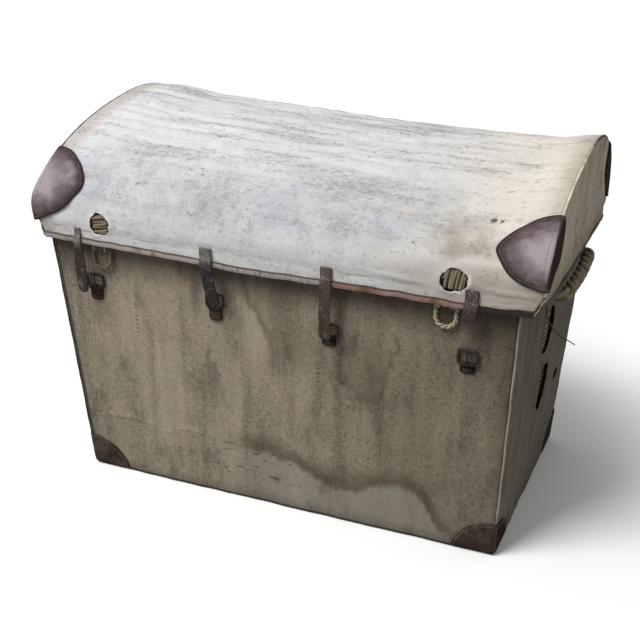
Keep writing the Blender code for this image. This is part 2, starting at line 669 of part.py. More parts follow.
# Buckles: a folded leather chape on the body, a wire frame through its fold, a prong on the bar
wall_lean = math.atan2(BODY_TAPER, BODY_HEIGHT)
eye = BUCKLE_WIRE + GAP + PRONG_WIRE
standoff = eye + PRONG_WIRE + GAP
for name, (end, distance, below_rim) in BUCKLES.items():
    z = BODY_HEIGHT - below_rim
    on_canvas = Vector((from_end(end, distance), BODY_MIDDLE - half_depth(z), z))
    on_bar = on_canvas + Vector((0.0, -math.cos(wall_lean), -math.sin(wall_lean))) * standoff
    seat = Matrix.Translation(on_bar) @ Matrix.Rotation(wall_lean, 4, "X")

    fold = BUCKLE_WIRE + GAP + CHAPE_LEATHER
    back = standoff - GAP
    front = back - 2 * CHAPE_LEATHER
    turn_end = 2 * math.pi - math.acos(min(1.0, front / fold))
    outline = [(back, -CHAPE_LENGTH), (back, -CHAPE_LEATHER)]
    turns = [turn_end * i / 16 for i in range(17)]
    outline += [(fold * math.cos(a), fold * math.sin(a)) for a in turns]
    outline += [(front, -CHAPE_LENGTH)]
    bore = (BUCKLE_WIRE + GAP) / math.cos(math.pi / 12)
    ring = [(bore * math.cos(math.pi * i / 6), bore * math.sin(math.pi * i / 6)) for i in range(12)]
    tab = profile(f"{name}_chape", [outline, ring], -CHAPE_WIDTH / 2, CHAPE_WIDTH / 2)
    round_edges(tab, end_corners(-CHAPE_LENGTH), CHAPE_ROUND)
    chape = add_part(f"{name}_chape", tab, LEATHER_LOOK)
    chape.matrix_world = seat

    def notch(sx, sy, sz):
        reach = eye + PRONG_WIRE + PRONG_SIDE
        z = 2 * reach if sz > 0 else -reach - PRONG_WIRE
        return (sx * (PRONG_WIRE + PRONG_SIDE), sy * 2 * reach, z)

    slit = add_cutter(f"{name}_slit", block(f"{name}_slit", notch))
    slit.matrix_world = seat
    boolean(chape, slit, "DIFFERENCE")

    half, tall, bend = BUCKLE_WIDTH / 2, BUCKLE_HEIGHT, BUCKLE_ROUND
    loop = corner_bend((bend - half, 0, 0), (-half, 0, 0), (-half, 0, bend))
    loop += corner_bend((-half, 0, tall - bend), (-half, 0, tall), (bend - half, 0, tall))
    loop += corner_bend((half - bend, 0, tall), (half, 0, tall), (half, 0, tall - bend))
    loop += corner_bend((half, 0, bend), (half, 0, 0), (half - bend, 0, 0))
    frame = add_part(f"{name}_frame", tube(f"{name}_frame", [loop], BUCKLE_WIRE, cyclic=True), IRON_LOOK)
    frame.matrix_world = seat

    turns = [math.pi + math.radians(230) * i / 10 for i in range(11)]
    path = [(0, -eye, BUCKLE_HEIGHT + PRONG_PAST)]
    path += [(0, eye * math.cos(a), eye * math.sin(a)) for a in turns]
    prong = add_part(f"{name}_prong", tube(f"{name}_prong", [path], PRONG_WIRE), IRON_LOOK)
    prong.parent = frame

# Willow hasps: a lashing under the lid's border ends in two eyes, and a closed loop hangs in them
hasp_y = CANVAS + SKIRT_TUCK + BINDING_LAYER + GAP + LASHING_REACH - LID_HALF_DEPTH
hasp_z = hem_low - HASP_BELOW - HASP_ROD
for side, distance in HASPS.items():
    x = from_end(side, distance)
    bridge = LID_LOW - GAP - LASHING_ROD
    front = hasp_y - LASHING_EYE
    bend = 2 * LASHING_ROD
    turns = [math.radians(70 - 250 * i / 10) for i in range(11)]
    eye_x = x - LASHING_SPREAD / 2
    left_eye = [
        Vector((eye_x, hasp_y + LASHING_EYE * math.cos(a), hasp_z + LASHING_EYE * math.sin(a)))
        for a in turns
    ]
    knee = Vector((x - LASHING_SPREAD / 2, front, bridge))
    left_half = left_eye + corner_bend(knee - Vector((0, 0, bend)), knee, knee + Vector((bend, 0, 0)))
    right_half = [Vector((2 * x - point.x, point.y, point.z)) for point in reversed(left_half)]
    lashing = tube(f"hasp_{side}_lashing", [left_half + right_half], LASHING_ROD, 1)
    add_part(f"hasp_{side}_lashing", lashing, WILLOW_LOOK, lid_hinge)

    half = HASP_WIDTH / 2
    bend = 1.6 * HASP_ROD
    loop = corner_bend((bend - half, 0, 0), (-half, 0, 0), (-half, 0, -bend))
    arc = [math.pi + math.pi * i / 12 for i in range(13)]
    loop += [Vector((half * math.cos(a), 0, half - HASP_DROP + half * math.sin(a))) for a in arc]
    loop += corner_bend((half, 0, -bend), (half, 0, 0), (half - bend, 0, 0))
    middle = Vector((x, hasp_y, hasp_z))
    pivot = hinge_empty(f"hasp_{side}_hinge", middle, lid_hinge)
    hasp = tube(f"hasp_{side}_loop", [[middle + point for point in loop]], HASP_ROD, cyclic=True)
    add_part(f"hasp_{side}_loop", hasp, WILLOW_LOOK, pivot)

# Rope handles: the rope goes through two holes in each end, with a run along the inner face
handle_z = hem_low - HANDLE_BELOW - ROPE_RADIUS
wall_x = half_length(handle_z)
stub_x = wall_x + ROPE_STUB
bend_x = wall_x - LINING - WICKER - 2 * STAKE_RADIUS
axis_x = stub_x + GAP + ROPE_RADIUS
for side, sign in (("left", -1), ("right", 1)):
    near = BODY_MIDDLE - HANDLE_SPAN / 2
    for number, y in enumerate((near, near + HANDLE_SPAN)):
        wide = 2 * (ROPE_RADIUS + ROPE_HOLE)
        spot = (sign * (wall_x - WICKER / 2), y, handle_z)
        hole = oval_punch(f"rope_{side}_{number}", "X", spot, wide, wide, 6 * WICKER)
        hole = add_cutter(f"rope_{side}_{number}", hole)
        boolean(canvas_ends[side], hole, "DIFFERENCE")
        boolean(walls[side], hole, "DIFFERENCE")
    knee = Vector((sign * (bend_x - HANDLE_BEND), near, handle_z))
    first = [Vector((sign * stub_x, near, handle_z))]
    first += corner_bend(
        (sign * bend_x, near, handle_z), knee, knee + Vector((0, HANDLE_BEND, 0)), 5
    )
    other = [Vector((point.x, 2 * BODY_MIDDLE - point.y, point.z)) for point in reversed(first)]
    run = tube(f"handle_{side}_inside", [first + other], ROPE_RADIUS, 3)
    add_part(f"handle_{side}_inside", run, ROPE_LOOK)

    start = Vector((sign * axis_x, near, handle_z))
    out = Vector((sign, 0, 0))
    angles = [math.radians(a) for a in (10, 32, 55, 76)]
    nose = [start - out * ROPE_RADIUS * math.cos(a) for a in angles]
    thick = [math.sin(a) for a in angles]
    knee = start + out * HANDLE_BEND
    swell = corner_bend(start, knee, knee + Vector((0, HANDLE_BEND, 0)), 5)
    grip = HANDLE_SPAN / 2 - HANDLE_BEND
    bow = []
    for step in range(1, 8):
        u = step / 4 - 1
        lift_out = HANDLE_BOW * (1 - u * u) ** 2
        bow.append(Vector((sign * (axis_x + HANDLE_BEND + lift_out), BODY_MIDDLE + u * grip, handle_z)))
    half_way = nose + swell
    other = [Vector((point.x, 2 * BODY_MIDDLE - point.y, point.z)) for point in reversed(half_way)]
    radii = thick + [1.0] * (len(swell) + len(bow) + len(swell)) + thick[::-1]
    rope = tube(f"handle_{side}_rope", [half_way + bow + other], ROPE_RADIUS, 3, radii=radii)
    pivot = hinge_empty(f"handle_{side}_hinge", (sign * axis_x, BODY_MIDDLE, handle_z))
    add_part(f"handle_{side}_rope", rope, ROPE_LOOK, pivot)

# Willow end that has sprung loose beside the right handle
loose_y = BODY_MIDDLE - HANDLE_SPAN / 2 - ROPE_RADIUS - LOOSE_BESIDE
knots = []
for out, down in LOOSE_RUN:
    z = SKIRT_LOW + down
    knots.append(Vector((half_length(z) + GAP + LOOSE_ROD + out, loose_y, z)))
loose_end = tube("loose_willow_end", [smooth_run(knots, 2)], LOOSE_ROD, 1)
add_part("loose_willow_end", loose_end, WILLOW_LOOK)
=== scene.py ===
"""Looks of a dome-topped wicker trunk: woven willow in a canvas cover, with leather, iron and rope.

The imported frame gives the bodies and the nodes. Everything is in metres in its frame, in which
the closed trunk stands on z = 0 with its front toward -Y.
"""

import bmesh
import bpy
import numpy as np
from mathutils import Matrix, Vector


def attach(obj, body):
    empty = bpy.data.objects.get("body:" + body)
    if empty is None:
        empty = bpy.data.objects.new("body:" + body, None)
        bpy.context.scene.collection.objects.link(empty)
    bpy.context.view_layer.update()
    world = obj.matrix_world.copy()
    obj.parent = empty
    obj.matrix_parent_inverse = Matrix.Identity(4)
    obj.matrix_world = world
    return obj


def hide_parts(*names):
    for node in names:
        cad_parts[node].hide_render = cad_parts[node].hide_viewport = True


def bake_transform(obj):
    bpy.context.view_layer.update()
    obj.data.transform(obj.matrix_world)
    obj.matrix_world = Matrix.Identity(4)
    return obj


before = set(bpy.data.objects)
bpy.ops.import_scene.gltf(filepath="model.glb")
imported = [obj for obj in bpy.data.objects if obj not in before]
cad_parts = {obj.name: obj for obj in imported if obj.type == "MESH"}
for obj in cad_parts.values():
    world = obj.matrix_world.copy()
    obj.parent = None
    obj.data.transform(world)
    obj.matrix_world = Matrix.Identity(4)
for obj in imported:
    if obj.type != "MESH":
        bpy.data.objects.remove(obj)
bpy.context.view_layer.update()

# Camera: in front of the trunk, to the right of its middle and above the lid, at the
# photograph's viewing angle. The lens takes in 31 degrees, and the horizon tips a little.
EYE = (0.7423, -1.9355, 1.1707)
YAW, PITCH, ROLL = -0.3758, 0.4003, 0.0219
SENSOR = 36.0
LENS_TO_FRAME = 1150 / 640

camera = bpy.data.objects.new("camera", bpy.data.cameras.new("camera"))
bpy.context.scene.collection.objects.link(camera)
turned = Matrix.Rotation(-YAW, 4, "Z") @ Matrix.Rotation(np.pi / 2 - PITCH, 4, "X")
camera.matrix_world = Matrix.Translation(EYE) @ turned @ Matrix.Rotation(ROLL, 4, "Z")
camera.data.sensor_width = SENSOR
camera.data.lens = SENSOR * LENS_TO_FRAME
bpy.context.scene.camera = camera
bpy.context.scene.view_settings.view_transform = "Standard"

# Studio: a pale floor and one large soft lamp above the front left. The camera and mirror
# reflections see the surround and the far floor white, and both light the trunk at a lower level.
FLOOR_HALF = 40.0
FLOOR_UNDER = 0.0003
FLOOR_SEEN, FLOOR_BOUNCE = 0.95, 0.34
FLOOR_NEAR, FLOOR_FAR = 0.50, 1.05
SURROUND_FILL = 0.40
LAMP_PLACE, LAMP_AIM = (-1.7, -2.8, 4.5), (0.0, 0.0, 0.35)
LAMP_SIZE, LAMP_WATTS = 2.6, 300.0


class Finish:
    """A socket among a material's nodes. Arithmetic adds Math nodes, and node() adds any other."""

    def __init__(self, tree, socket=None):
        self.tree = tree
        self.socket = socket

    def node(self, kind, settings=None, values=None, out=0):
        """A new node: its settings are made first, then its sockets get values or links."""
        made = self.tree.nodes.new("ShaderNode" + kind)
        for name, value in (settings or {}).items():
            setattr(made, name, value)
        for place, value in (values or {}).items():
            if isinstance(value, Finish):
                self.tree.links.new(value.socket, made.inputs[place])
            else:
                made.inputs[place].default_value = value
        return Finish(self.tree, made.outputs[out])

    def math(self, operation, *values):
        """A Math node on values or sockets."""
        return self.node("Math", {"operation": operation}, dict(enumerate(values)))

    def __add__(self, other):
        return self.math("ADD", self, other)

    def __sub__(self, other):
        return self.math("SUBTRACT", self, other)

    def __rsub__(self, other):
        return self.math("SUBTRACT", other, self)

    def __mul__(self, other):
        return self.math("MULTIPLY", self, other)

    def __truediv__(self, other):
        return self.math("DIVIDE", self, other)

    def __pow__(self, other):
        return self.math("POWER", self, other)

    def __abs__(self):
        return self.math("ABSOLUTE", self)

    __radd__ = __add__
    __rmul__ = __mul__


def seen_white(start):
    """1 for what the camera, a mirror or glass sees directly, and 0 for light that bounces."""
    rays = [start.node("LightPath", out=f"Is {ray} Ray") for ray in ("Camera", "Glossy", "Transmission")]
    return rays[0].math("MAXIMUM", rays[0], rays[1].math("MAXIMUM", rays[1], rays[2]))


surround = bpy.data.worlds.new("surround")
bpy.context.scene.world = surround
surround.use_nodes = True
fill = seen_white(Finish(surround.node_tree)) * (1 - SURROUND_FILL) + SURROUND_FILL
surround.node_tree.links.new(fill.socket, surround.node_tree.nodes["Background"].inputs["Strength"])
surround.node_tree.nodes["Background"].inputs["Color"].default_value = (1.0, 1.0, 1.0, 1.0)

corners = FLOOR_HALF * np.array([[-1, -1, 0], [1, -1, 0], [1, 1, 0], [-1, 1, 0]]) - [0, 0, FLOOR_UNDER]
floor_mesh = bpy.data.meshes.new("floor")
floor_mesh.from_pydata(corners.tolist(), [], [(0, 1, 2, 3)])
floor = bpy.data.objects.new("floor", floor_mesh)
bpy.context.scene.collection.objects.link(floor)
pale = bpy.data.materials.new("floor")
pale.use_nodes = True
seen = seen_white(Finish(pale.node_tree))
away = seen.node("TexCoord", out="Object")
away = seen.node("VectorMath", {"operation": "LENGTH"}, {0: away}, out="Value")
away = seen.node("MapRange", {"interpolation_type": "SMOOTHSTEP"}, {0: away, 1: FLOOR_NEAR, 2: FLOOR_FAR})
shade = seen * ((1 - away) * FLOOR_SEEN - FLOOR_BOUNCE) + FLOOR_BOUNCE
paper = pale.node_tree.nodes["Principled BSDF"]
pale.node_tree.links.new(shade.socket, paper.inputs["Base Color"])
pale.node_tree.links.new((seen * away).socket, paper.inputs["Emission Color"])
paper.inputs["Emission Strength"].default_value = 1.0
paper.inputs["Roughness"].default_value = 0.9
paper.inputs["Specular IOR Level"].default_value = 0.1
floor_mesh.materials.append(pale)

lamp = bpy.data.objects.new("soft_lamp", bpy.data.lights.new("soft_lamp", "AREA"))
bpy.context.scene.collection.objects.link(lamp)
lamp.data.size = LAMP_SIZE
lamp.data.energy = LAMP_WATTS
turned = (Vector(LAMP_AIM) - Vector(LAMP_PLACE)).to_track_quat("-Z", "Y").to_matrix().to_4x4()
lamp.matrix_world = Matrix.Translation(LAMP_PLACE) @ turned

# Woven base and walls: willow rods 5 mm thick, worked in turn before and behind upright stakes,
# with a thicker post where two walls meet. The base is woven in the same way and lies inside.
BODY_LENGTH, BODY_DEPTH, BODY_HEIGHT, BODY_TAPER = 0.880, 0.540, 0.520, 0.033
BODY_MIDDLE = 0.01095
BODY_SWAY, BODY_TWIST = -0.0095, 0.027
STAKE_PITCH = 0.058
STAKE_RADIUS, ROD_RADIUS = 0.0030, 0.0025
WALL_LOW, WALL_HIGH = 0.0195, 0.5055
WALL_INSET = 0.0098
BASE_MIDDLE = 0.0116
CORNER_POST = 0.0062
LONG_WALL_SHORT, END_WALL_SHORT, BASE_SHORT = 0.006, 0.0185, 0.006
POST_IN, POST_BACK = 0.0235, 0.0225
BASE_STAKE, BASE_ROD = 0.0026, 0.0022
ROPE_HOLE_HEIGHT, ROPE_HOLES = 0.4617, (-0.120, 0.120)
ROPE_EYE, ROPE_EYE_LENGTH = 0.0145, 0.024
STRAW, BARK, DUST = (168, 134, 88), (92, 66, 40), (150, 136, 112)


def paint(red, green, blue):
    """A colour written as it looks on a screen, 0 to 255, as the share of light it sends back."""
    shares = np.array([red, green, blue]) / 255
    light = np.where(shares <= 0.04045, shares / 12.92, ((shares + 0.055) / 1.055) ** 2.4)
    return (*light.tolist(), 1.0)


def smooth(value, low, high):
    """0 at low, 1 at high, and eased between them."""
    return value.node("MapRange", {"interpolation_type": "SMOOTHSTEP"}, {0: value, 1: low, 2: high})


def blend(share, under, over):
    """Under where share is 0 and over where it is 1. Each is a socket or a screen colour."""
    under, over = (c if isinstance(c, Finish) else paint(*c) for c in (under, over))
    return share.node("Mix", {"data_type": "RGBA"}, {0: share, 6: under, 7: over}, out=2)


def washed(colour, *washes):
    """A colour under thin washes, each a share and a tint, laid one over the other."""
    for share, tint in washes:
        colour = blend(share, colour, tint)
    return colour


def spread(place, factors):
    """A place with its three parts multiplied, which stretches the pattern that reads it."""
    return place.node("VectorMath", {"operation": "MULTIPLY"}, {0: place, 1: factors})


def mottle(place, size, detail=3.0, rough=0.55):
    """Cloudy unevenness from 0 to 1 with patches of about a size."""
    values = {"Vector": place, "Scale": 1 / size, "Detail": detail, "Roughness": rough}
    return place.node("TexNoise", {}, values)


def parts(place):
    """The three parts of a place."""
    return [place.node("SeparateXYZ", {}, {0: place}, out=axis) for axis in range(3)]


def new_finish(name, **constants):
    """A material with some of its shader's sockets set, and its Object and UV places."""
    material = bpy.data.materials.new(name)
    material.use_nodes = True
    shader = material.node_tree.nodes["Principled BSDF"]
    for socket, value in constants.items():
        shader.inputs[socket.replace("_", " ")].default_value = value
    start = Finish(material.node_tree)
    return material, *(start.node("TexCoord", out=kind) for kind in ("Object", "UV"))


def apply_finish(material, colour, roughness, height, depth):
    """Links a finish's colour and roughness, and its height as a bump of a depth in metres."""
    tree = material.node_tree
    shader = tree.nodes["Principled BSDF"]
    tree.links.new(colour.socket, shader.inputs["Base Color"])
    tree.links.new(roughness.socket, shader.inputs["Roughness"])
    bump = colour.node("Bump", {}, {"Distance": depth, "Height": height})
    tree.links.new(bump.socket, shader.inputs["Normal"])
    return material


def willow_finish(name, light, dark, grey):
    """Willow: each rod has its own tone between straw and bark, with fine streaks along it."""
    material, place, flat = new_finish(name, Specular_IOR_Level=0.25)
    along, rod, _ = parts(flat)
    number = rod.math("FLOOR", rod)
    tone = number.node("TexWhiteNoise", {"noise_dimensions": "1D"}, {"W": number})
    streak = mottle(along.node("CombineXYZ", {}, {0: along * 30, 1: rod * 9}), 1.0, 4.0, 0.6)
    colour = washed(
        blend(tone * 0.55 + streak * 0.6 - 0.1, dark, light),
        (smooth(mottle(place, 0.12), 0.45, 0.75) * 0.6, grey),
        (smooth(streak, 0.42, 0.30) * 0.55, (48, 34, 22)),
    )
    return apply_finish(material, colour, streak * 0.3 + 0.5, streak, 0.0006)


def stack(*arrays):
    """Arrays whose shapes fit each other, side by side as the parts of places."""
    return np.stack(np.broadcast_arrays(*arrays), -1)


def add_piece(name, grids, material, keep=None, thickness=0):
    """A mesh piece from grids of points and their UV places, joined where their edges meet.

    Each grid is an array (..., rows, columns, 3). A face looks along its column direction
    crossed with its row direction. keep marks the faces of a single grid that stay. A thickness
    grows inward from the faces.
    """
    points, faces, marks, first = [], [], [], 0
    for shape, flat in grids:
        rows, columns = shape.shape[-3:-1]
        shape = shape.reshape(-1, rows * columns, 3)
        row, column = np.meshgrid(np.arange(rows - 1), np.arange(columns - 1), indexing="ij")
        corner = (row * columns + column).reshape(-1, 1)
        quad = corner + np.array([0, 1, columns + 1, columns])
        if keep is not None:
            quad = quad[keep.reshape(-1)]
        grid_start = np.arange(len(shape)).reshape(-1, 1, 1) * rows * columns
        faces.append((quad + grid_start).reshape(-1, 4) + first)
        points.append(shape.reshape(-1, 3))
        marks.append(np.broadcast_to(flat, (*shape.shape[:1], rows, columns, 2)).reshape(-1, 2))
        first += len(points[-1])
    used, faces = np.unique(np.concatenate(faces), return_inverse=True)
    points, marks, faces = np.concatenate(points)[used], np.concatenate(marks)[used], faces.reshape(-1, 4)
    data = bpy.data.meshes.new(name)
    data.from_pydata(points.tolist(), [], faces.tolist())
    data.uv_layers.new(name="UVMap").data.foreach_set("uv", marks[faces].astype(np.float32).ravel())
    joined = bmesh.new()
    joined.from_mesh(data)
    bmesh.ops.remove_doubles(joined, verts=joined.verts, dist=2e-6)
    joined.to_mesh(data)
    joined.free()
    data.shade_smooth()
    data.materials.append(material)
    piece = bpy.data.objects.new(name, data)
    bpy.context.scene.collection.objects.link(piece)
    if thickness:
        solid = piece.modifiers.new("thickness", "SOLIDIFY")
        solid.thickness = thickness
        solid.offset = -1
    return piece


def fit(name, grids, material, body, slot, *nodes, **sheet):
    """A new piece that moves with a body and stands for CAD nodes, which it hides. The slot is not used."""
    piece = add_piece(name, grids, material, **sheet)
    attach(piece, body)
    if nodes:
        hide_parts(*nodes)
    return piece


def weave(place, reach, low, high, stake, rod, seed, holes=(), stake_steps=2):
    """Grids of woven willow on a surface with parts u (along), v (across) and out.

    Rods lie side by side along u, and each passes in turn before and behind the stakes, which
    run along v at whole multiples of the pitch: out = swing * cos(pi * u / pitch + pi * row).
    Round a hole (u, v) the rods part: each moves away from it by the root of d^2 + eye^2.
    """
    rng = np.random.default_rng(seed)
    rows = int((high - low) / (1.9 * rod))
    v = low + (np.arange(rows) + 0.5) * (high - low) / rows
    half = reach(v)
    steps = int(half.max() / STAKE_PITCH * 12)
    way = np.concatenate([[-1], np.linspace(-1, 1, steps), [1]])
    full = np.ones(len(way))
    full[[0, -1]] = 0
    u = half[:, None] * way
    swing = (stake + 0.85 * rod) * np.cos(np.pi * u / STAKE_PITCH + np.pi * np.arange(rows)[:, None])
    swing = swing + 0.0003 * np.sin(u * 95 + rng.uniform(0, 6, (rows, 1)))
    lift = 0.0004 * np.sin(u * 40 + rng.uniform(0, 6, (rows, 1)))
    for hole_u, hole_v in holes:
        away = v[:, None] - hole_v
        eye = ROPE_EYE * np.exp(-(((u - hole_u) / ROPE_EYE_LENGTH) ** 2))
        lift = lift + np.where(away < 0, -1, 1) * (np.sqrt(away**2 + eye**2) - abs(away))
    turn = np.linspace(0, 2 * np.pi, 7)
    thick = (rod * rng.uniform(0.86, 1.1, (rows, 1)) * full)[..., None]
    rods = place(u[..., None], (v[:, None] + lift)[..., None] + thick * np.cos(turn),
                 swing[..., None] + thick * np.sin(turn))
    flat = stack(u[..., None], np.arange(rows)[:, None, None] + 0.98 * turn / (2 * np.pi))
    count = int((half.max() - 3 * stake) / STAKE_PITCH)
    stake_u = STAKE_PITCH * np.arange(-count, count + 1)
    within = half > abs(stake_u)[:, None] + 2 * stake
    foot, head = np.where(within, v, high).min(1), np.where(within, v, low).max(1)
    way = np.concatenate([[0], np.linspace(0, 1, stake_steps), [1]])
    full = np.ones(len(way))
    full[[0, -1]] = 0
    grid_v = (foot[:, None] + (head - foot)[:, None] * way)[..., None]
    thick = (stake * full)[:, None]
    stakes = place(stake_u[:, None, None] + thick * np.sin(turn), grid_v, thick * np.cos(turn))
    number = 500 + np.arange(len(stake_u))[:, None, None] + 0.98 * turn / (2 * np.pi)
    return [(rods, flat), (stakes, stack(grid_v, number))]


def half_length(z):
    """Half the body's length over its canvas at a height."""
    return BODY_LENGTH / 2 - BODY_TAPER * (1 - z / BODY_HEIGHT)


def half_depth(z):
    """Half the body's depth over its canvas at a height."""
    return BODY_DEPTH / 2 - BODY_TAPER * (1 - z / BODY_HEIGHT)


def sway(y, z):
    """How far the old body has come to lean to the left at a height, more at its front."""
    return (BODY_SWAY + BODY_TWIST * y) * z / BODY_HEIGHT


def on_wall(wall):
    """The surface u along, z up, out from the canvas of one of the body's four leaning walls."""
    sign = 1 if wall in ("back", "right") else -1

    def place(u, z, out):
        is_long = wall in ("front", "back")
        x = -sign * u if is_long else sign * (half_length(z) + out)
        y = BODY_MIDDLE + sign * (half_depth(z) + out if is_long else u)
        return stack(x + sway(y, z), y, z)

    return place


willow = willow_finish("aged_willow", STRAW, BARK, DUST)
for number, wall in enumerate(("front", "back", "left", "right")):
    on_canvas = on_wall(wall)
    is_long = wall in ("front", "back")
    grids = weave(
        lambda u, v, out: on_canvas(u, v, out - WALL_INSET),
        lambda v: half_length(v) - LONG_WALL_SHORT if is_long else half_depth(v) - END_WALL_SHORT,
        WALL_LOW, WALL_HIGH, STAKE_RADIUS, ROD_RADIUS, number,
        () if is_long else [(u, ROPE_HOLE_HEIGHT) for u in ROPE_HOLES],
    )
    if is_long:
        turn = np.linspace(0, 2 * np.pi, 9)
        thick = CORNER_POST * np.array([0, 1, 1, 0.0])[:, None]
        z = np.repeat([WALL_LOW, WALL_HIGH], 2)[:, None]
        for end in (-1, 1):
            u = end * (half_length(z) - POST_IN) + thick * np.sin(turn)
            grids.append((on_canvas(u, z, thick * np.cos(turn) - POST_BACK), stack(z, 900 + turn / 7)))
    fit(f"woven_{wall}", grids, willow, "trunk_body", "willow", f"wicker_{wall}_wall")

base_half = (half_length(BASE_MIDDLE) - BASE_SHORT, half_depth(BASE_MIDDLE) - BASE_SHORT)
grids = weave(
    lambda u, v, out: stack(u, BODY_MIDDLE + v, BASE_MIDDLE + out),
    lambda v: np.full(v.shape, base_half[0]), -base_half[1], base_half[1], BASE_STAKE, BASE_ROD, 7,
)
fit("woven_base", grids, willow, "trunk_body", "willow", "wicker_base")

# Borders: the rims of body and lid are finished with willow rods laid round and round each
# other like a thick rope, flattened between body and lid.
BORDER_RODS, BORDER_ROD = 5, 0.0033
BORDER_HALF_WIDTH, BORDER_HALF_HEIGHT = 0.0110, 0.0070
BORDER_CORNER, BORDER_LAY = 0.020, 0.066
BODY_BORDER_Z, LID_BORDER_Z = 0.513, 0.5273
LID_HALF_LENGTH, LID_HALF_DEPTH = 0.4619, 0.28095
CANVAS_AND_GAP = 0.0018


def rods(lines, lean, radius, around=8, closed=False, number=0):
    """Grids of round rods: at each point of a line, a circle across the line's own direction.

    lines is (rods, points, 3), or one line alone, and lean points across them to where each circle
    starts. radius is one number, or one for each point. An open rod draws in to a point at its ends.
    """
    lines = lines.reshape(-1, *lines.shape[-2:])
    lean = np.broadcast_to(lean, lines.shape)
    thick = np.broadcast_to(radius, lines.shape[:2])
    if closed:
        ahead = np.roll(lines, -1, 1) - np.roll(lines, 1, 1)
        lines, lean, ahead, thick = (np.concatenate([a, a[:, :1]], 1) for a in (lines, lean, ahead, thick))
    else:
        ahead = np.gradient(lines, axis=1)
        lines, lean, ahead, thick = (
            np.concatenate([a[:, :1], a, a[:, -1:]], 1) for a in (lines, lean, ahead, thick)
        )
        thick[:, [0, -1]] = 0
    ahead = ahead / np.linalg.norm(ahead, axis=-1, keepdims=True)
    side = lean - (lean * ahead).sum(-1, keepdims=True) * ahead
    side = (side / np.linalg.norm(side, axis=-1, keepdims=True))[:, :, None]
    other = np.cross(ahead[:, :, None], side)
    turn = np.linspace(0, 2 * np.pi, around + 1)
    ring = np.cos(turn)[:, None] * side + np.sin(turn)[:, None] * other
    gone = np.linalg.norm(np.diff(lines, axis=1, prepend=lines[:, :1]), axis=-1).cumsum(1)
    count = number + np.arange(len(lines))[:, None, None] + 0.98 * turn / (2 * np.pi)
    flat = stack(gone[..., None], count)
    return lines[:, :, None] + thick[..., None, None] * ring, flat


def length_gone(line):
    """The length gone at each point of a flat line, given as its two parts."""
    return np.hypot(*(np.diff(part, prepend=part[0]) for part in line)).cumsum()


def ring_line(half_x, half_y, middle, corner, count):
    """Even points on a rectangle with rounded corners, and its outward directions, in plan."""
    turn = np.linspace(0, np.pi / 2, 12)
    angle = np.concatenate([turn + quarter * np.pi / 2 for quarter in range(4)])
    x = np.repeat([1, -1, -1, 1], 12) * (half_x - corner) + corner * np.cos(angle)
    y = np.repeat([1, 1, -1, -1], 12) * (half_y - corner) + corner * np.sin(angle)
    x, y, angle = np.append(x, x[0]), np.append(y, y[0]), np.append(angle, 2 * np.pi)
    gone = length_gone((x, y))
    even = np.linspace(0, gone[-1], count, endpoint=False)
    angle = np.interp(even, gone, angle)
    line = stack(np.interp(even, gone, x), np.interp(even, gone, y)) + middle
    return line, stack(np.cos(angle), np.sin(angle)), even, gone[-1]


def laid_border(node, body, half_x, half_y, middle, z):
    """Rods that wind round a ring: out by a cosine and up by a sine of the length gone."""
    line, outward, gone, total = ring_line(half_x, half_y, middle, BORDER_CORNER, 560)
    turns = round(total / BORDER_LAY)
    phase = 2 * np.pi * (gone / total * turns + np.arange(BORDER_RODS)[:, None] / BORDER_RODS)
    out = (BORDER_HALF_WIDTH - BORDER_ROD) * np.cos(phase)[..., None] * outward
    up = (BORDER_HALF_HEIGHT - BORDER_ROD) * np.sin(phase)
    lines = np.concatenate([line + out, z + up[..., None]], -1)
    lean = np.concatenate([out, up[..., None]], -1)
    fit(f"laid_{node}", [rods(lines, lean, BORDER_ROD, 7, closed=True)], willow, body, "willow", node)


inset = CANVAS_AND_GAP + BORDER_HALF_WIDTH
half_x, half_y = half_length(BODY_BORDER_Z) - inset, half_depth(BODY_BORDER_Z) - inset
middle = (sway(0.0, BODY_BORDER_Z), BODY_MIDDLE)
laid_border("body_border", "trunk_body", half_x, half_y, middle, BODY_BORDER_Z)
laid_border("lid_border", "lid", LID_HALF_LENGTH - inset, LID_HALF_DEPTH - inset, (0, 0), LID_BORDER_Z)

# Canvas on the body: a coarse brown linen drawn tight over the wicker and sewn at the corners.
# The stakes show through as soft ribs, it has tide marks and creases, and the right end is torn.
COVER_LOW = 0.0028
CLOTH = 0.0013
CLOTH_STEP = 0.005
CLOTH_FROM_CORNER, UNDER_FROM_EDGE = 0.0035, 0.006
ROPE_HOLE_WIDE = 0.0224
RIB_HEIGHT, SLACK, FLAT_EDGE = 0.0011, 0.0011, 0.03
DRAWN_IN, DRAWN_OVER = 0.008, 0.009
CREASE_HEIGHT, CREASE_PROUD, CREASE_WIDE = 0.118, 0.0013, 0.0045
THREAD = 0.0022
# The rents: along the wall, height, width and length of each
RENTS = ((-0.021, 0.355, 0.085, 0.095), (-0.001, 0.232, 0.080, 0.095), (0.149, 0.192, 0.045, 0.022))
COVER_PALE, COVER_DARK = (167, 155, 136), (106, 96, 81)
# The ends and the bottom: the same linen as the front in darker tones, as painted shade.
END_SHADED_PALE, END_SHADED_DARK = (132, 123, 106), (84, 76, 63)


def unevenness(u, v, size, seed, waves=10):
    """Gentle hills about a size across, mostly from -1 to 1: a sum of waves in many directions."""
    rng = np.random.default_rng(seed)
    angle, phase = rng.uniform(0, 2 * np.pi, (2, waves))
    pace = 2 * np.pi / size * rng.uniform(0.6, 1.4, waves)
    wave = u[..., None] * np.cos(angle) * pace + v[..., None] * np.sin(angle) * pace + phase
    return np.sin(wave).sum(-1) / np.sqrt(waves)


def hump(value, middle, width):
    """A bell that is 1 in the middle and dies away over a width to both sides."""
    return np.exp(-(((value - middle) / width) ** 2))


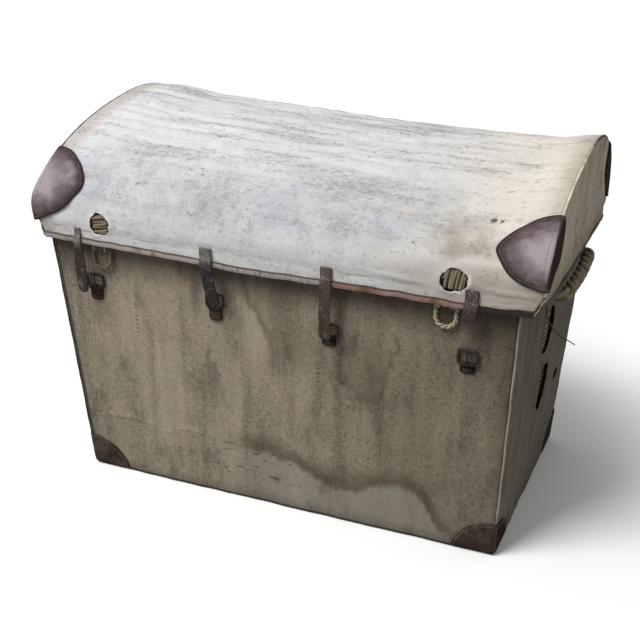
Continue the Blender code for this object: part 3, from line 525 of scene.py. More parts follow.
def open_holes(u, v, out, holes, seed, rag=0.12, curl=0.0025):
    """Cuts ragged ovals (u, v, width, height) into a grid of cloth.

    A point inside an oval moves out to its edge, whose radius wavers with the angle, and a face
    with all four corners inside is left out. The cloth stands up a little round the edge.
    """
    rng = np.random.default_rng(seed)
    keep = np.ones((u.shape[0] - 1, u.shape[1] - 1), bool)
    for middle_u, middle_v, width, height in holes:
        du, dv = (u - middle_u) / (width / 2), (v - middle_v) / (height / 2)
        angle, radius = np.arctan2(dv, du), np.hypot(du, dv)
        waver = [np.sin(k * angle + rng.uniform(0, 6)) / k**0.5 for k in (2, 3, 5, 8, 13)]
        edge = 1 + rag * np.sum(waver, axis=0) / 2
        inside = radius < edge
        keep &= ~(inside[:-1, :-1] & inside[1:, :-1] & inside[:-1, 1:] & inside[1:, 1:])
        u = np.where(inside, middle_u + np.cos(angle) * edge * width / 2, u)
        v = np.where(inside, middle_v + np.sin(angle) * edge * height / 2, v)
        out = out + curl * hump(np.maximum(radius, edge), edge, 0.25)
    return u, v, out, keep


def canvas_finish(name, pale, dark, marks=None):
    """Linen canvas: threads that cross, slubs along both, and cloudy fading between two tones.

    marks(place, colour) lays a panel's own stains over the cloth's colour, and on the front and the lid also
    some painted shade and painted light.
    """
    material, place, flat = new_finish(name, Specular_IOR_Level=0.15, Sheen_Weight=0.06)
    u, v, _ = parts(flat)
    threads = u.math("SINE", u * (2 * np.pi / THREAD)) * v.math("SINE", v * (2 * np.pi / THREAD))
    slub = mottle(spread(flat, (60, 700, 1)), 1.0, 2.0) + mottle(spread(flat, (700, 60, 1)), 1.0, 2.0)
    weft = mottle(spread(flat, (0.30, 1, 1)), 0.0036, 2.0, 0.8)
    warp = mottle(spread(flat, (1, 0.30, 1)), 0.0036, 2.0, 0.8)
    grain = (weft + warp) * 0.8 - 0.3
    cloud = mottle(place, 0.17, 5.0, 0.6)
    streak = mottle(spread(place, (1, 1, 0.10)), 0.030, 3.0)
    tone = cloud * 0.8 + streak * 0.95 + grain * 1.05 + slub * 0.25 - 1.08
    between = smooth(slub * 0.5 + grain * 0.5, 0.40, 0.26) * 0.5
    colour = washed(blend(smooth(tone, 0.05, 0.95), dark, pale), (between, (70, 60, 48)))
    if marks is not None:
        colour = marks(place, colour)
    height = threads * 0.3 + slub * 0.5 + grain * 0.5
    return apply_finish(material, colour, grain * 0.1 + 0.86, height, 0.0009)


def soiled(place, colour):
    """Grime that gathers toward the foot and along the bottom edge, and dark specks on the ribs."""
    _, _, z = parts(place)
    cloud = mottle(place, 0.05, 4.0)
    blot = smooth(mottle(spread(place, (1, 1, 0.45)), 0.045, 4.0, 0.65), 0.50, 0.70)
    speck = smooth(mottle(spread(place, (0.55, 0.55, 1)), 0.007, 1.0), 0.70, 0.77)
    speck = speck * smooth(mottle(place, 0.06, 2.0), 0.52, 0.62)
    return washed(
        colour,
        (smooth(z + cloud * 0.03, 0.05, 0.012) * 0.5, (74, 66, 55)),
        (smooth(z, 0.008, 0.003) * 0.75, (40, 35, 30)),
        (blot * 0.42, (60, 53, 43)),
        (speck * 0.75, (52, 44, 36)),
    )


def tide_marks(place, colour):
    """The front: browner to the right, water stains with soft edges, painted shade along a crease, dots, dark
    seams, and a dark band below the skirt that is painted shadow and dirt.
    """
    x, _, z = parts(place)
    waver = mottle(place, 0.07, 4.0, 0.6) - 0.5
    ragged = mottle(place, 0.020, 4.0, 0.65) - 0.5
    dust = mottle(place, 0.0048, 2.0, 0.8)
    dusty = smooth(x + waver * 0.2, -0.2, 0.2)
    side = x + 0.022 + smooth(z, 0.34, 0.445) * 0.054 - waver * 0.03 - ragged * 0.02
    high = smooth(z + waver * 0.05, 0.245, 0.32)
    across, along = (x - 0.163) / 0.054, (z - 0.375) / 0.127
    reach = (across * across + along * along) ** 0.5 + waver * 0.7 + ragged * 0.5
    rim_line = smooth(abs(reach - 0.92), 0.17, 0.0) * smooth(mottle(place, 0.06), 0.30, 0.52)
    smear = smooth(abs(x + 0.160 + waver * 0.02), 0.020, 0.004) * smooth(z, 0.34, 0.40)
    level = 0.116 - smooth(x, -0.06, 0.11) * 0.040 + smooth(x, 0.14, 0.215) * 0.027
    tide = z - (level - smooth(x, 0.25, 0.32) * 0.08) - waver * 0.05 - ragged * 0.02
    ends = smooth(x, -0.14, -0.02) * smooth(x, 0.36, 0.30)
    broken = smooth(mottle(place, 0.045), 0.35, 0.65)
    wave = mottle(spread(place, (1, 0, 0)), 0.16, 2.0) - 0.5
    # Painted shade: a dark line along the fold of the crease, on the left part.
    crease_shade = smooth(abs(z - CREASE_HEIGHT - wave * 0.03 - waver * 0.02), 0.0035, 0.0)
    crease_shade = crease_shade * smooth(x, -0.02, -0.12) * smooth(mottle(place, 0.03), 0.42, 0.6)
    dash = smooth(mottle(spread(place, (0.22, 1, 1)), 0.0075, 1.0), 0.62, 0.70)
    dash = dash * smooth(abs(z - 0.085), 0.05, 0.02) * smooth(x, -0.24, -0.12) * smooth(x, 0.10, 0.0)
    dots = []
    for middle, top, low in ((0.074, 0.318, 0.282), (-0.285, 0.352, 0.312)):
        row = smooth(z.math("SINE", (z - low) * (2 * np.pi / 0.0085)), 0.35, 0.85)
        row = row * smooth(abs(x - middle), 0.0032, 0.0016)
        dots.append((row * smooth(z, low, low + 0.002) * smooth(z, top + 0.002, top) * 0.8, (44, 36, 29)))
    u, v, _ = parts(place.node("TexCoord", out="UV"))
    edge = v * (BODY_TAPER / BODY_HEIGHT) + half_length(0.0) - abs(u)
    seams = smooth(edge, 0.012, 0.006) * smooth(x, 0.3, -0.3) * 0.75 + smooth(edge, 0.03, 0.004) * 0.25
    brown, umber = (84, 72, 56), (52, 44, 35)
    return soiled(place, washed(
        colour,
        (smooth(x + waver * 0.12, -0.06, 0.30) * 0.42, brown),
        (smooth(x + z * 0.5 + waver * 0.15, 0.46, 0.68) * 0.62, umber),
        (smooth(dust, 0.44, 0.32) * dusty * 0.55, umber),
        (smooth(dust, 0.58, 0.70) * dusty * 0.3, (168, 154, 130)),
        (smooth(side, -0.002, 0.012) * smooth(side, 0.16, 0.03) * high * 0.30, brown),
        (smooth(abs(side - 0.007), 0.014, 0.0) * high * 0.38, (70, 58, 44)),
        (smooth(reach, 1.02, 0.72) * smooth(along, 0.5, -0.6) * 0.34, brown),
        (rim_line * 0.5, (58, 47, 35)),
        (smear * 0.45, (84, 72, 58)),
        (smooth(tide, 0.0, -0.014) * ends * 0.5, (152, 147, 136)),
        (smooth(tide, 0.050, 0.010) * smooth(tide, -0.008, 0.006) * ends * 0.66, brown),
        (smooth(abs(tide - 0.010), 0.017, 0.0) * ends * broken * 0.24, (62, 52, 40)),
        (crease_shade * 0.6, (70, 60, 48)),
        (dash * 0.7, umber),
        *dots,
        # Painted shadow of the lid's skirt, with dirt: a dark band along the top, below the hem.
        (smooth(z + waver * 0.06, 0.400, 0.475) * 0.68, (62, 53, 43)),
        (seams, umber),
    ))


def body_cloth(wall, holes, material):
    """One panel: out = ribs over the stakes and slack between, wider where the wall is wider."""
    is_long = wall in ("front", "back")
    half = half_length if is_long else half_depth
    columns = int(2 * half(BODY_HEIGHT) / CLOTH_STEP)
    z = np.linspace(COVER_LOW, BODY_HEIGHT, int(BODY_HEIGHT / CLOTH_STEP))[:, None]
    u = np.linspace(-1, 1, columns) * (half(z) - CLOTH_FROM_CORNER - DRAWN_IN * np.exp(-z / DRAWN_OVER))
    z = np.broadcast_to(z, u.shape)
    seed = 20 + len(wall)
    ribs = (0.5 + 0.5 * np.cos(2 * np.pi * u / STAKE_PITCH)) ** 2
    fade = 0.62 + 0.38 * unevenness(u, z, 0.25, seed)
    out = RIB_HEIGHT * ribs * fade + SLACK * (1 + unevenness(u, z, 0.11, seed + 1)) * 0.5
    if wall == "front":
        fold = z - CREASE_HEIGHT - 0.006 * unevenness(u, 0 * z, 0.12, 5)
        out = out + CREASE_PROUD * hump(fold, 0, CREASE_WIDE) / (1 + np.exp((u + 0.08) / 0.03))
    out = out * np.minimum(1, (half(z) - CLOTH_FROM_CORNER - abs(u)) / FLAT_EDGE)
    u, v, out, keep = open_holes(u, z, out, holes, seed)
    flat = (2 * half(BODY_HEIGHT / 2), BODY_HEIGHT)
    grids = [(on_wall(wall)(u, v, out), stack(u, v))]
    piece = fit(
        f"body_canvas_{wall}", grids, material, "trunk_body", "cover_canvas", f"canvas_{wall}",
        keep=keep, thickness=CLOTH,
    )


rope_holes = [(u, ROPE_HOLE_HEIGHT, ROPE_HOLE_WIDE, ROPE_HOLE_WIDE) for u in ROPE_HOLES]
# The end canvas is the front's linen painted darker: painted shade.
shaded_end_canvas = canvas_finish("shaded_end_canvas", END_SHADED_PALE, END_SHADED_DARK, soiled)
body_cloth("front", (), canvas_finish("front_canvas", COVER_PALE, COVER_DARK, tide_marks))
body_cloth("back", (), canvas_finish("back_canvas", COVER_PALE, COVER_DARK, soiled))
body_cloth("left", rope_holes, shaded_end_canvas)
body_cloth("right", (*RENTS, *rope_holes), shaded_end_canvas)

half_x, half_y = half_length(0.0) - UNDER_FROM_EDGE, half_depth(0.0) - UNDER_FROM_EDGE
x, y = np.meshgrid(np.linspace(-half_x, half_x, 90)[::-1], np.linspace(-half_y, half_y, 50))
z = COVER_LOW + 0.0006 * unevenness(x, y, 0.1, 3) + 0.0006
grids = [(stack(x, BODY_MIDDLE + y, z), stack(x, y))]
under = fit(
    "body_canvas_bottom", grids, shaded_end_canvas, "trunk_body", "cover_canvas", "canvas_bottom", thickness=CLOTH
)
2 * half_x
2 * half_y

# Welts: a cord wrapped in a strip of canvas is sewn into each upright corner of the cover. The
# front right one has worn pale, and the others are dark with dirt.
WELT_RADIUS, WELT_INSET, WELT_LOW = 0.0021, 0.0015, 0.055
WELT_PALE, WELT_DARK = (164, 152, 131), (54, 47, 39)
ENDS = (("left", -1), ("right", 1))
CORNERS = [(f"{d}_{e}", end, toward) for d, toward in (("front", -1), ("back", 1)) for e, end in ENDS]


def welt_finish(name, pale, dark):
    """Piping: fine slanting wraps, pale toward the front right and where it is worn, dark elsewhere."""
    material, place, flat = new_finish(name, Specular_IOR_Level=0.15)
    along, turn, _ = parts(flat)
    x, y, _ = parts(place)
    wrap = along.math("SINE", along * 1900 + turn * 12)
    worn = mottle(place, 0.03, 4.0, 0.65)
    share = smooth(x, -0.2, 0.35) * smooth(y, 0.2, -0.1) * 0.5 + worn - 0.4
    colour = blend(smooth(share, 0.1, 0.75), dark, pale)
    return apply_finish(material, colour, worn * 0.1 + 0.82, wrap * 0.4 + worn, 0.0006)


piping = welt_finish("piping", WELT_PALE, WELT_DARK)
z = np.linspace(WELT_LOW, BODY_HEIGHT - 0.0004, 90)
for corner, end, toward in CORNERS:
    x = end * (half_length(z) - WELT_INSET + 0.0003 * np.sin(z * 70))
    y = BODY_MIDDLE + toward * (half_depth(z) - WELT_INSET + 0.0003 * np.cos(z * 55))
    swell = WELT_RADIUS * (1 + 0.05 * np.sin(z * 210 + end) + 0.04 * np.sin(z * 90 + toward))
    cord = rods(stack(x + sway(y, z), y, z), (1, 0, 0), swell, 10)
    fit(f"welt_{corner}", [cord], piping, "trunk_body", "cover_canvas")

# Leather feet: each bottom corner is cased in one piece of hide, blocked wet over three faces
# and sewn to the canvas round its edge.
FOOT_LENGTH, FOOT_DEPTH, FOOT_HEIGHT = 0.083, 0.083, 0.068
FOOT_PROUD, FOOT_ROUND, HIDE = 0.0034, 0.0105, 0.0022
STITCH_LENGTH, STITCH_RADIUS = 0.0021, 0.0006
FOOT_PALE, FOOT_MID, FOOT_DARK = (110, 96, 86), (84, 71, 62), (54, 44, 39)


def leather_finish(name, pale, mid, dark, scuffed=0.5, marks=None):
    """Old hide: fine pores, cloudy tones, pale scuffs and scratches, and darker creases.

    marks(flat, colour, cloud) lays a piece's own marks over that, by its UV places: on the caps a painted
    sheen, painted shade and a dark edge.
    """
    material, place, flat = new_finish(name, Specular_IOR_Level=0.0)
    pores = place.node("TexVoronoi", {"feature": "DISTANCE_TO_EDGE"}, {"Vector": place, "Scale": 620.0})
    cloud = mottle(place, 0.035, 5.0, 0.62)
    fine = mottle(place, 0.004, 4.0, 0.7)
    scratch = mottle(spread(place, (1, 1, 7)), 0.02, 3.0, 0.6)
    scuff = smooth(cloud * 0.5 + fine * 0.35 + scratch * 0.3, 0.56, 0.72)
    colour = blend(smooth(cloud, 0.30, 0.72), dark, mid)
    colour = washed(colour, (scuff * scuffed, pale), (smooth(fine, 0.40, 0.28) * 0.6, dark))
    if marks is not None:
        colour = marks(flat, colour, cloud)
    height = smooth(pores, 0.0, 0.12) * 0.35 + fine * 0.6 + cloud * 0.6
    return apply_finish(material, colour, 0.62 - cloud * 0.30 + scuff * 0.15, height, 0.0007)


def thread_finish(name, pale, dark):
    """Waxed thread, soiled to different tones from stitch to stitch."""
    material, place, _ = new_finish(name, Specular_IOR_Level=0.2)
    worn = mottle(place, 0.009, 3.0, 0.7)
    colour = blend(smooth(worn, 0.35, 0.65), dark, pale)
    return apply_finish(material, colour, worn * 0.2 + 0.65, worn, 0.0003)


soiled_thread = thread_finish("soiled_thread", (132, 122, 108), (62, 54, 47))


def sew(name, body, line, along, out, length=STITCH_LENGTH, radius=STITCH_RADIUS, thread=soiled_thread,
        slot="leather"):
    """A row of stitches: on each point of a line an ellipsoid, long along it and round across."""
    along, out = (np.broadcast_to(way, line.shape) for way in (along, out))
    along = along / np.linalg.norm(along, axis=-1, keepdims=True)
    side = np.cross(along, out)
    side = side / np.linalg.norm(side, axis=-1, keepdims=True)
    over = np.cross(side, along)
    tilt, turn = np.linspace(0, np.pi, 6)[:, None, None], np.linspace(0, 2 * np.pi, 7)[:, None]
    spots = line[:, None, None] + length * np.cos(tilt) * along[:, None, None]
    ring = np.cos(turn) * side[:, None, None] + np.sin(turn) * over[:, None, None]
    fit(name, [(spots + radius * np.sin(tilt) * ring, np.zeros(2))], thread, body, slot)


def fan(turn, count, flip):
    """Shares from the middle of a round shape to its edge, and angles round it, as grids."""
    ring, around = np.meshgrid(np.linspace(0, 1, 30), np.linspace(0, turn, count), indexing="ij")
    return ring, around[:, ::-1] if flip else around


def rounded(sharp, radius):
    """Depths inside some faces: near an edge or corner, set on a ball of a radius within them."""
    core = np.maximum(sharp, radius)
    off = sharp - core
    return np.moveaxis(core + radius * off / np.linalg.norm(off, axis=-1, keepdims=True), -1, 0)


def foot_surface(ring, around, end, toward):
    """Places on a foot. ring goes from the corner to the edge, and around goes over three faces.

    On each face the edge is a quarter of an ellipse, and where faces meet the hide is rounded.
    """
    face, angle = np.floor(around) % 3, (around % 1) * np.pi / 2
    first, second = np.cos(angle) * ring, np.sin(angle) * ring
    none = np.zeros_like(first)
    sharp = [[second, none, first], [first, second, none], [none, first, second]]
    sharp = np.choose(face.astype(int)[..., None], [stack(*depths) for depths in sharp])
    u, v, w = rounded(sharp * (FOOT_LENGTH, FOOT_DEPTH, FOOT_HEIGHT), FOOT_ROUND)
    x = end * (half_length(w) + FOOT_PROUD - u)
    y = BODY_MIDDLE + toward * (half_depth(w) + FOOT_PROUD - v)
    return stack(x + sway(y, w), y, w)


hide = leather_finish("hide", FOOT_PALE, FOOT_MID, FOOT_DARK, 0.4)
for corner, end, toward in CORNERS:
    ring, around = fan(3, 121, end * toward < 0)
    ring = ring * (1 + 0.012 * np.sin(around * 2 * np.pi * 2 / 3 + end) * ring)
    grids = [(foot_surface(ring, around, end, toward), stack(ring, around))]
    fit(
        f"foot_leather_{corner}", grids, hide, "trunk_body", "leather", f"foot_corner_{corner}",
        thickness=HIDE,
    )
    around = np.concatenate([np.linspace(0.03, 0.97, 22), np.linspace(2.03, 2.97, 22), np.zeros(11)])
    ring = np.append(np.full(44, 0.93), np.linspace(0.25, 0.93, 11))
    seam = foot_surface(ring, around, end, toward)
    ahead = foot_surface(ring, around + 0.004, end, toward) - seam
    ahead[44:] = (0, 0, 1)
    out = np.where((around < 1)[:, None], (0, toward, 0), (end, 0, 0))
    out[44:] = (end, toward, 0)
    sew(f"foot_stitches_{corner}", "trunk_body", seam, ahead, out)

# Rope handles: a three-strand hemp rope goes out and in through two holes of each end, and its
# ends are spliced inside, so it makes one closed loop.
ROPE_RADIUS, ROPE_LAY = 0.0120, 0.084
STRAND_RADIUS = ROPE_RADIUS / (1 + 2 / 3**0.5)
HANDLE_BEND, HANDLE_GRIP, HANDLE_BOW = 0.016, 0.104, 0.003
HANDLE_AXIS, HANDLE_INSIDE = 0.4486, 0.4145
ROPE_HELD, ROPE_FREE = 0.001, 0.018
ROPE_PALE, ROPE_DARK = (170, 156, 130), (70, 60, 47)


def even_loop(points, count):
    """Evenly spaced points on a closed line of points, and the length of the line."""
    closed = np.concatenate([points, points[:1]])
    gone = np.linalg.norm(np.diff(closed, axis=0, prepend=closed[:1]), axis=-1).cumsum()
    even = np.linspace(0, gone[-1], count, endpoint=False)
    return stack(*(np.interp(even, gone, part) for part in closed.T)), gone[-1]


def twisted_loop(points, plane, strands, strand, lay, count, number=0):
    """Strands that wind round a flat closed line whose plane has a given direction across it.

    Each strand is off the line by across * cos + plane * sin of the length gone, so that the
    strands touch: the offset is strand / sin(pi / strands).
    """
    line, total = even_loop(points, count)
    ahead = np.roll(line, -1, 0) - np.roll(line, 1, 0)
    across = np.cross(ahead / np.linalg.norm(ahead, axis=-1, keepdims=True), plane)
    turns = max(1, round(total / lay))
    phase = 2 * np.pi * (np.arange(count) / count * turns + np.arange(strands)[:, None] / strands)
    out = np.cos(phase)[..., None] * across + np.sin(phase)[..., None] * np.array(plane)
    return rods(line + out * strand / np.sin(np.pi / strands), out, strand, 9, closed=True, number=number)


def rope_finish(name, pale, dark):
    """Hemp: fibres that run slantwise along each strand, between a pale and a dark tone."""
    material, place, flat = new_finish(name, Specular_IOR_Level=0.15)
    along, strand, _ = parts(flat)
    fibre = mottle(along.node("CombineXYZ", {}, {0: along * 70, 1: strand * 26 + along * 90}), 1.0, 3.0, 0.6)
    worn = mottle(place, 0.02, 3.0)
    colour = blend(smooth(fibre * 0.6 + worn * 0.5, 0.36, 0.70), dark, pale)
    return apply_finish(material, colour, worn * 0.1 + 0.85, fibre, 0.0012)


turn = np.linspace(0, np.pi / 2, 9)
bend_x, bend_y = HANDLE_BEND * np.sin(turn), HANDLE_GRIP + HANDLE_BEND * np.cos(turn)
u = np.linspace(-1, 1, 25)
grip_x = HANDLE_AXIS + HANDLE_BEND + HANDLE_BOW * (1 - u * u) ** 2
loop_x, loop_y = np.concatenate([stack(*run) for run in (
    (HANDLE_AXIS + bend_x, -bend_y), (grip_x, HANDLE_GRIP * u), (HANDLE_AXIS + bend_x[::-1], bend_y[::-1]),
    (HANDLE_INSIDE - bend_x, bend_y), (HANDLE_INSIDE - bend_x[::-1], -bend_y[::-1]),
)]).T
hemp = rope_finish("hemp", ROPE_PALE, ROPE_DARK)
for end_name, end in ENDS:
    loop = stack(end * loop_x, BODY_MIDDLE + loop_y, ROPE_HOLE_HEIGHT)
    strands = twisted_loop(loop, (0, 0, 1), 3, STRAND_RADIUS, ROPE_LAY, 260)
    rope = add_piece(f"rope_handle_{end_name}", [strands], hemp)
    held_to, swings_from = half_length(ROPE_HOLE_HEIGHT) + ROPE_HELD, HANDLE_AXIS + ROPE_FREE
    inner, outer = ((end * x, BODY_MIDDLE, ROPE_HOLE_HEIGHT) for x in (held_to, swings_from))
    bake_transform(rope)
    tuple(inner)
    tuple(outer)
    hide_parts(f"handle_{end_name}_inside", f"handle_{end_name}_rope")

# Loose willow end: one rod of the right wall has broken, come through the canvas below the
# handle and bent away from it.
LOOSE_Y, LOOSE_ROD, LOOSE_TIP = -0.12655, 0.0017, 0.0009
LOOSE_HEM, LOOSE_CLEAR = 0.483, 0.0019
LOOSE_OUT = (0, 0.004, 0.010, 0.009, 0.0124, 0.0223, 0.0335, 0.048, 0.059)
LOOSE_DOWN = (0.004, 0.014, 0.025, 0.046, 0.063, 0.077, 0.088, 0.093, 0.099)


def softened(values, count, window=7):
    """A run of values drawn through a few given ones, with its bends rounded by averaging."""
    even = np.interp(np.linspace(0, len(values) - 1, count), np.arange(len(values)), values)
    padded = np.pad(even, window // 2, mode="reflect", reflect_type="odd")
    return np.convolve(padded, np.ones(window) / window, mode="valid")


out, z = softened(LOOSE_OUT, 60), LOOSE_HEM - softened(LOOSE_DOWN, 60)
x = half_length(z) + LOOSE_CLEAR + out + sway(LOOSE_Y, z) * np.linspace(1, 0, 60)
loose = rods(stack(x, LOOSE_Y, z), (0, 1, 0), np.linspace(LOOSE_ROD, LOOSE_TIP, 60), 8, number=41)
dark_willow = willow_finish("dark_willow", (116, 103, 84), (50, 41, 32), (98, 89, 76))
fit("loose_rod", [loose], dark_willow, "trunk_body", "willow", "loose_willow_end")

# Woven lid: willow rods over bent stakes make the dome, and each end is woven flat. Its crown
# lies behind the middle, and years of weight have pressed the dome down between its end hoops.
LID_LOW, SPRING, LID_RISE, DOME_POWER, DOME_LEAN = 0.5203, 0.5346, 0.160, 2.375, 0.25
# The drops of the dome at shares of its length from the left
SETTLED_AT = (0, 0.05, 0.08, 0.11, 0.14, 0.17, 0.28, 0.40, 0.52, 0.66, 0.80, 0.90, 0.93, 0.955, 0.98, 1)
SETTLED_BY = (
    0.002, 0.0005, 0.002, 0.006, 0.0105, 0.014, 0.017, 0.021,
    0.0245, 0.0262, 0.0262, 0.0248, 0.0215, 0.0165, 0.0115, 0.010,
)
DOME_INSET, DOME_HALF, DOME_STAKE, DOME_ROD = 0.0128, 0.4460, 0.0026, 0.0022
DOME_UNDER, DOME_FROM_FOOT = 0.001, 0.002
LID_END_MIDDLE, LID_END_INSET, LID_END_LOW, LID_END_BELOW = 0.4541, 0.0072, 0.5350, 0.004
LID_END_STAKE, LID_END_ROD = 0.0022, 0.0020


def lid_arch(inset, low):
    """Places (y, z) over the lid from front to back: straight feet and a leaning arch on them.

    The arch is a super-ellipse whose height is multiplied by 1 + lean * y / half depth.
    """
    angle = np.pi * (1 - np.linspace(0, 1, 241))
    out = np.sign(np.cos(angle)) * abs(np.cos(angle)) ** (2 / DOME_POWER)
    up = abs(np.sin(angle)) ** (2 / DOME_POWER) * (1 + DOME_LEAN * out)
    y, z = (LID_HALF_DEPTH - inset) * out, SPRING + (LID_RISE / up.max() - inset) * up
    return np.concatenate([y[:1], y, y[-1:]]), np.concatenate([[low], z, [low]])


def lid_sides(z, inset):
    """Where that arch is at a height: in front of the crown and behind it."""
    arch_y, arch_z = lid_arch(inset, LID_LOW)
    crown = arch_z.argmax()
    behind = np.interp(z, arch_z[:crown:-1], arch_y[:crown:-1])
    return np.interp(z, arch_z[: crown + 1], arch_y[: crown + 1]), behind


def along_arch(arch, length):
    """The place on an arch at a length along it, and the direction out of it there."""
    y, z = arch
    gone = length_gone(arch)
    slope_y, slope_z = np.gradient(y, gone), np.gradient(z, gone)
    size = np.hypot(slope_y, slope_z)
    return [np.interp(length, gone, part) for part in (y, z, -slope_z / size, slope_y / size)]


def sag(x, z):
    """How far the dome has settled at a place: a drop along the crown, less toward the rim."""
    even = np.linspace(0, 1, 120)
    settled = softened(np.interp(even, SETTLED_AT, SETTLED_BY), 120, 5)
    drop = np.interp((x / LID_HALF_LENGTH + 1) / 2, even, settled)
    return drop * np.clip((z - SPRING) / LID_RISE, 0, 1.1)


def on_dome(u, v, out):
    """The surface u along the lid, v over its arch and out from the middle of the wicker."""
    y, z, out_y, out_z = along_arch(wicker_arch, v)
    return stack(u, y + out_y * out, z + out_z * out - sag(u, z))


def on_lid_end(u, v, out):
    """The flat end of the lid: u from the middle between its two sides, v up, out outward."""
    y = end * u + np.mean(lid_sides(v, LID_END_INSET), axis=0)
    return stack(end * (LID_END_MIDDLE + out), y, v - sag(end * LID_END_MIDDLE, v))


wicker_arch = lid_arch(DOME_INSET, SPRING - DOME_UNDER)
over = length_gone(wicker_arch)[-1]
grids = weave(
    on_dome, lambda v: np.full(v.shape, DOME_HALF), DOME_FROM_FOOT, over - DOME_FROM_FOOT,
    DOME_STAKE, DOME_ROD, 11, stake_steps=40,
)
fit("woven_dome", grids, willow, "lid", "willow", "lid_wicker_dome")
for end_name, end in ENDS:
    grids = weave(
        on_lid_end, lambda v: np.diff(lid_sides(v, LID_END_INSET), axis=0)[0] / 2, LID_END_LOW,
        SPRING + LID_RISE - LID_END_INSET - LID_END_BELOW, LID_END_STAKE, LID_END_ROD, 12,
    )
    fit(f"woven_lid_{end_name}", grids, willow, "lid", "willow", f"lid_wicker_end_{end_name}")

# Lid cover: one width of pale canvas goes over the dome and down the front as a skirt. It has
# dried in long wrinkles over the rods, it bulges at the rim, and it is worn through over the hasps.
SKIRT_HEM, SKIRT_TUCK, SKIRT_TURN = 0.4836, 0.004, 0.037
COVER_HALF = 0.4592
COVER_ROWS, COVER_COLUMNS = 208, 216
WRINKLE_APART, WRINKLE_DEPTH = 0.036, 0.0058
RIM_BULGE, RIM_BULGE_Z, RIM_CREASE, RIM_CREASE_Z = 0.0008, 0.532, 0.0008, 0.5085
# The folds at the front right corner: height, slope and depth of each
CORNER_FOLDS = ((0.5170, -0.02, 0.0030), (0.5065, 0.00, 0.0026), (0.4960, 0.03, 0.0024))
FOLDS_FROM, FOLD_WIDE, LONG_FOLD = 0.362, 0.0036, 0.0026
STRAP_PRESS, COVER_FLAT_EDGE = 0.020, 0.04
DROP_FROM = 0.517
CORNER_TUCK, CORNER_WIDE = {1: 0.013, -1: 0.007}, 0.075
# The holes over the hasps: along the lid, height, width and length of each
HASP_HOLES = {"left": (-0.333, 0.526, 0.038, 0.044), "right": (0.3155, 0.527, 0.046, 0.042)}
STRAP_X = (-0.380, -0.1245, 0.0985, 0.346)
# How far the hem hangs below its even line, along the front
HEM_X = (-0.46, -0.40, -0.142, -0.06, 0.05, 0.11, 0.227, 0.326, 0.377, 0.443, 0.46)
HEM_DROP = (-0.0050, -0.0035, 0.0008, 0.0050, 0.0022, 0.0014, 0.0005, 0.0022, 0.0045, -0.0015, -0.002)
LID_PALE, LID_DARK = (198, 199, 201), (146, 147, 150)


def tuck(z):
    """How far the skirt is drawn in below the rim, on its way to the hem."""
    return SKIRT_TUCK * np.clip((BODY_HEIGHT - z) / SKIRT_TURN, 0, 1.1)


def corner_tuck(x, y, z):
    """How far the skirt's two front corners have been knocked in below the rim."""
    near = hump(np.hypot(abs(x) - LID_HALF_LENGTH, y + LID_HALF_DEPTH), 0, CORNER_WIDE)
    amount = np.where(x > 0, CORNER_TUCK[1], -CORNER_TUCK[-1])
    return amount * near * np.clip((BODY_HEIGHT - z) / SKIRT_TURN, 0, 1.1)


def hem_drop(x):
    """How far the front hem hangs below an even line."""
    few, many = (np.linspace(HEM_X[0], HEM_X[-1], count) for count in (24, 90))
    return np.interp(x, many, softened(np.interp(few, HEM_X, HEM_DROP), 90, 9))


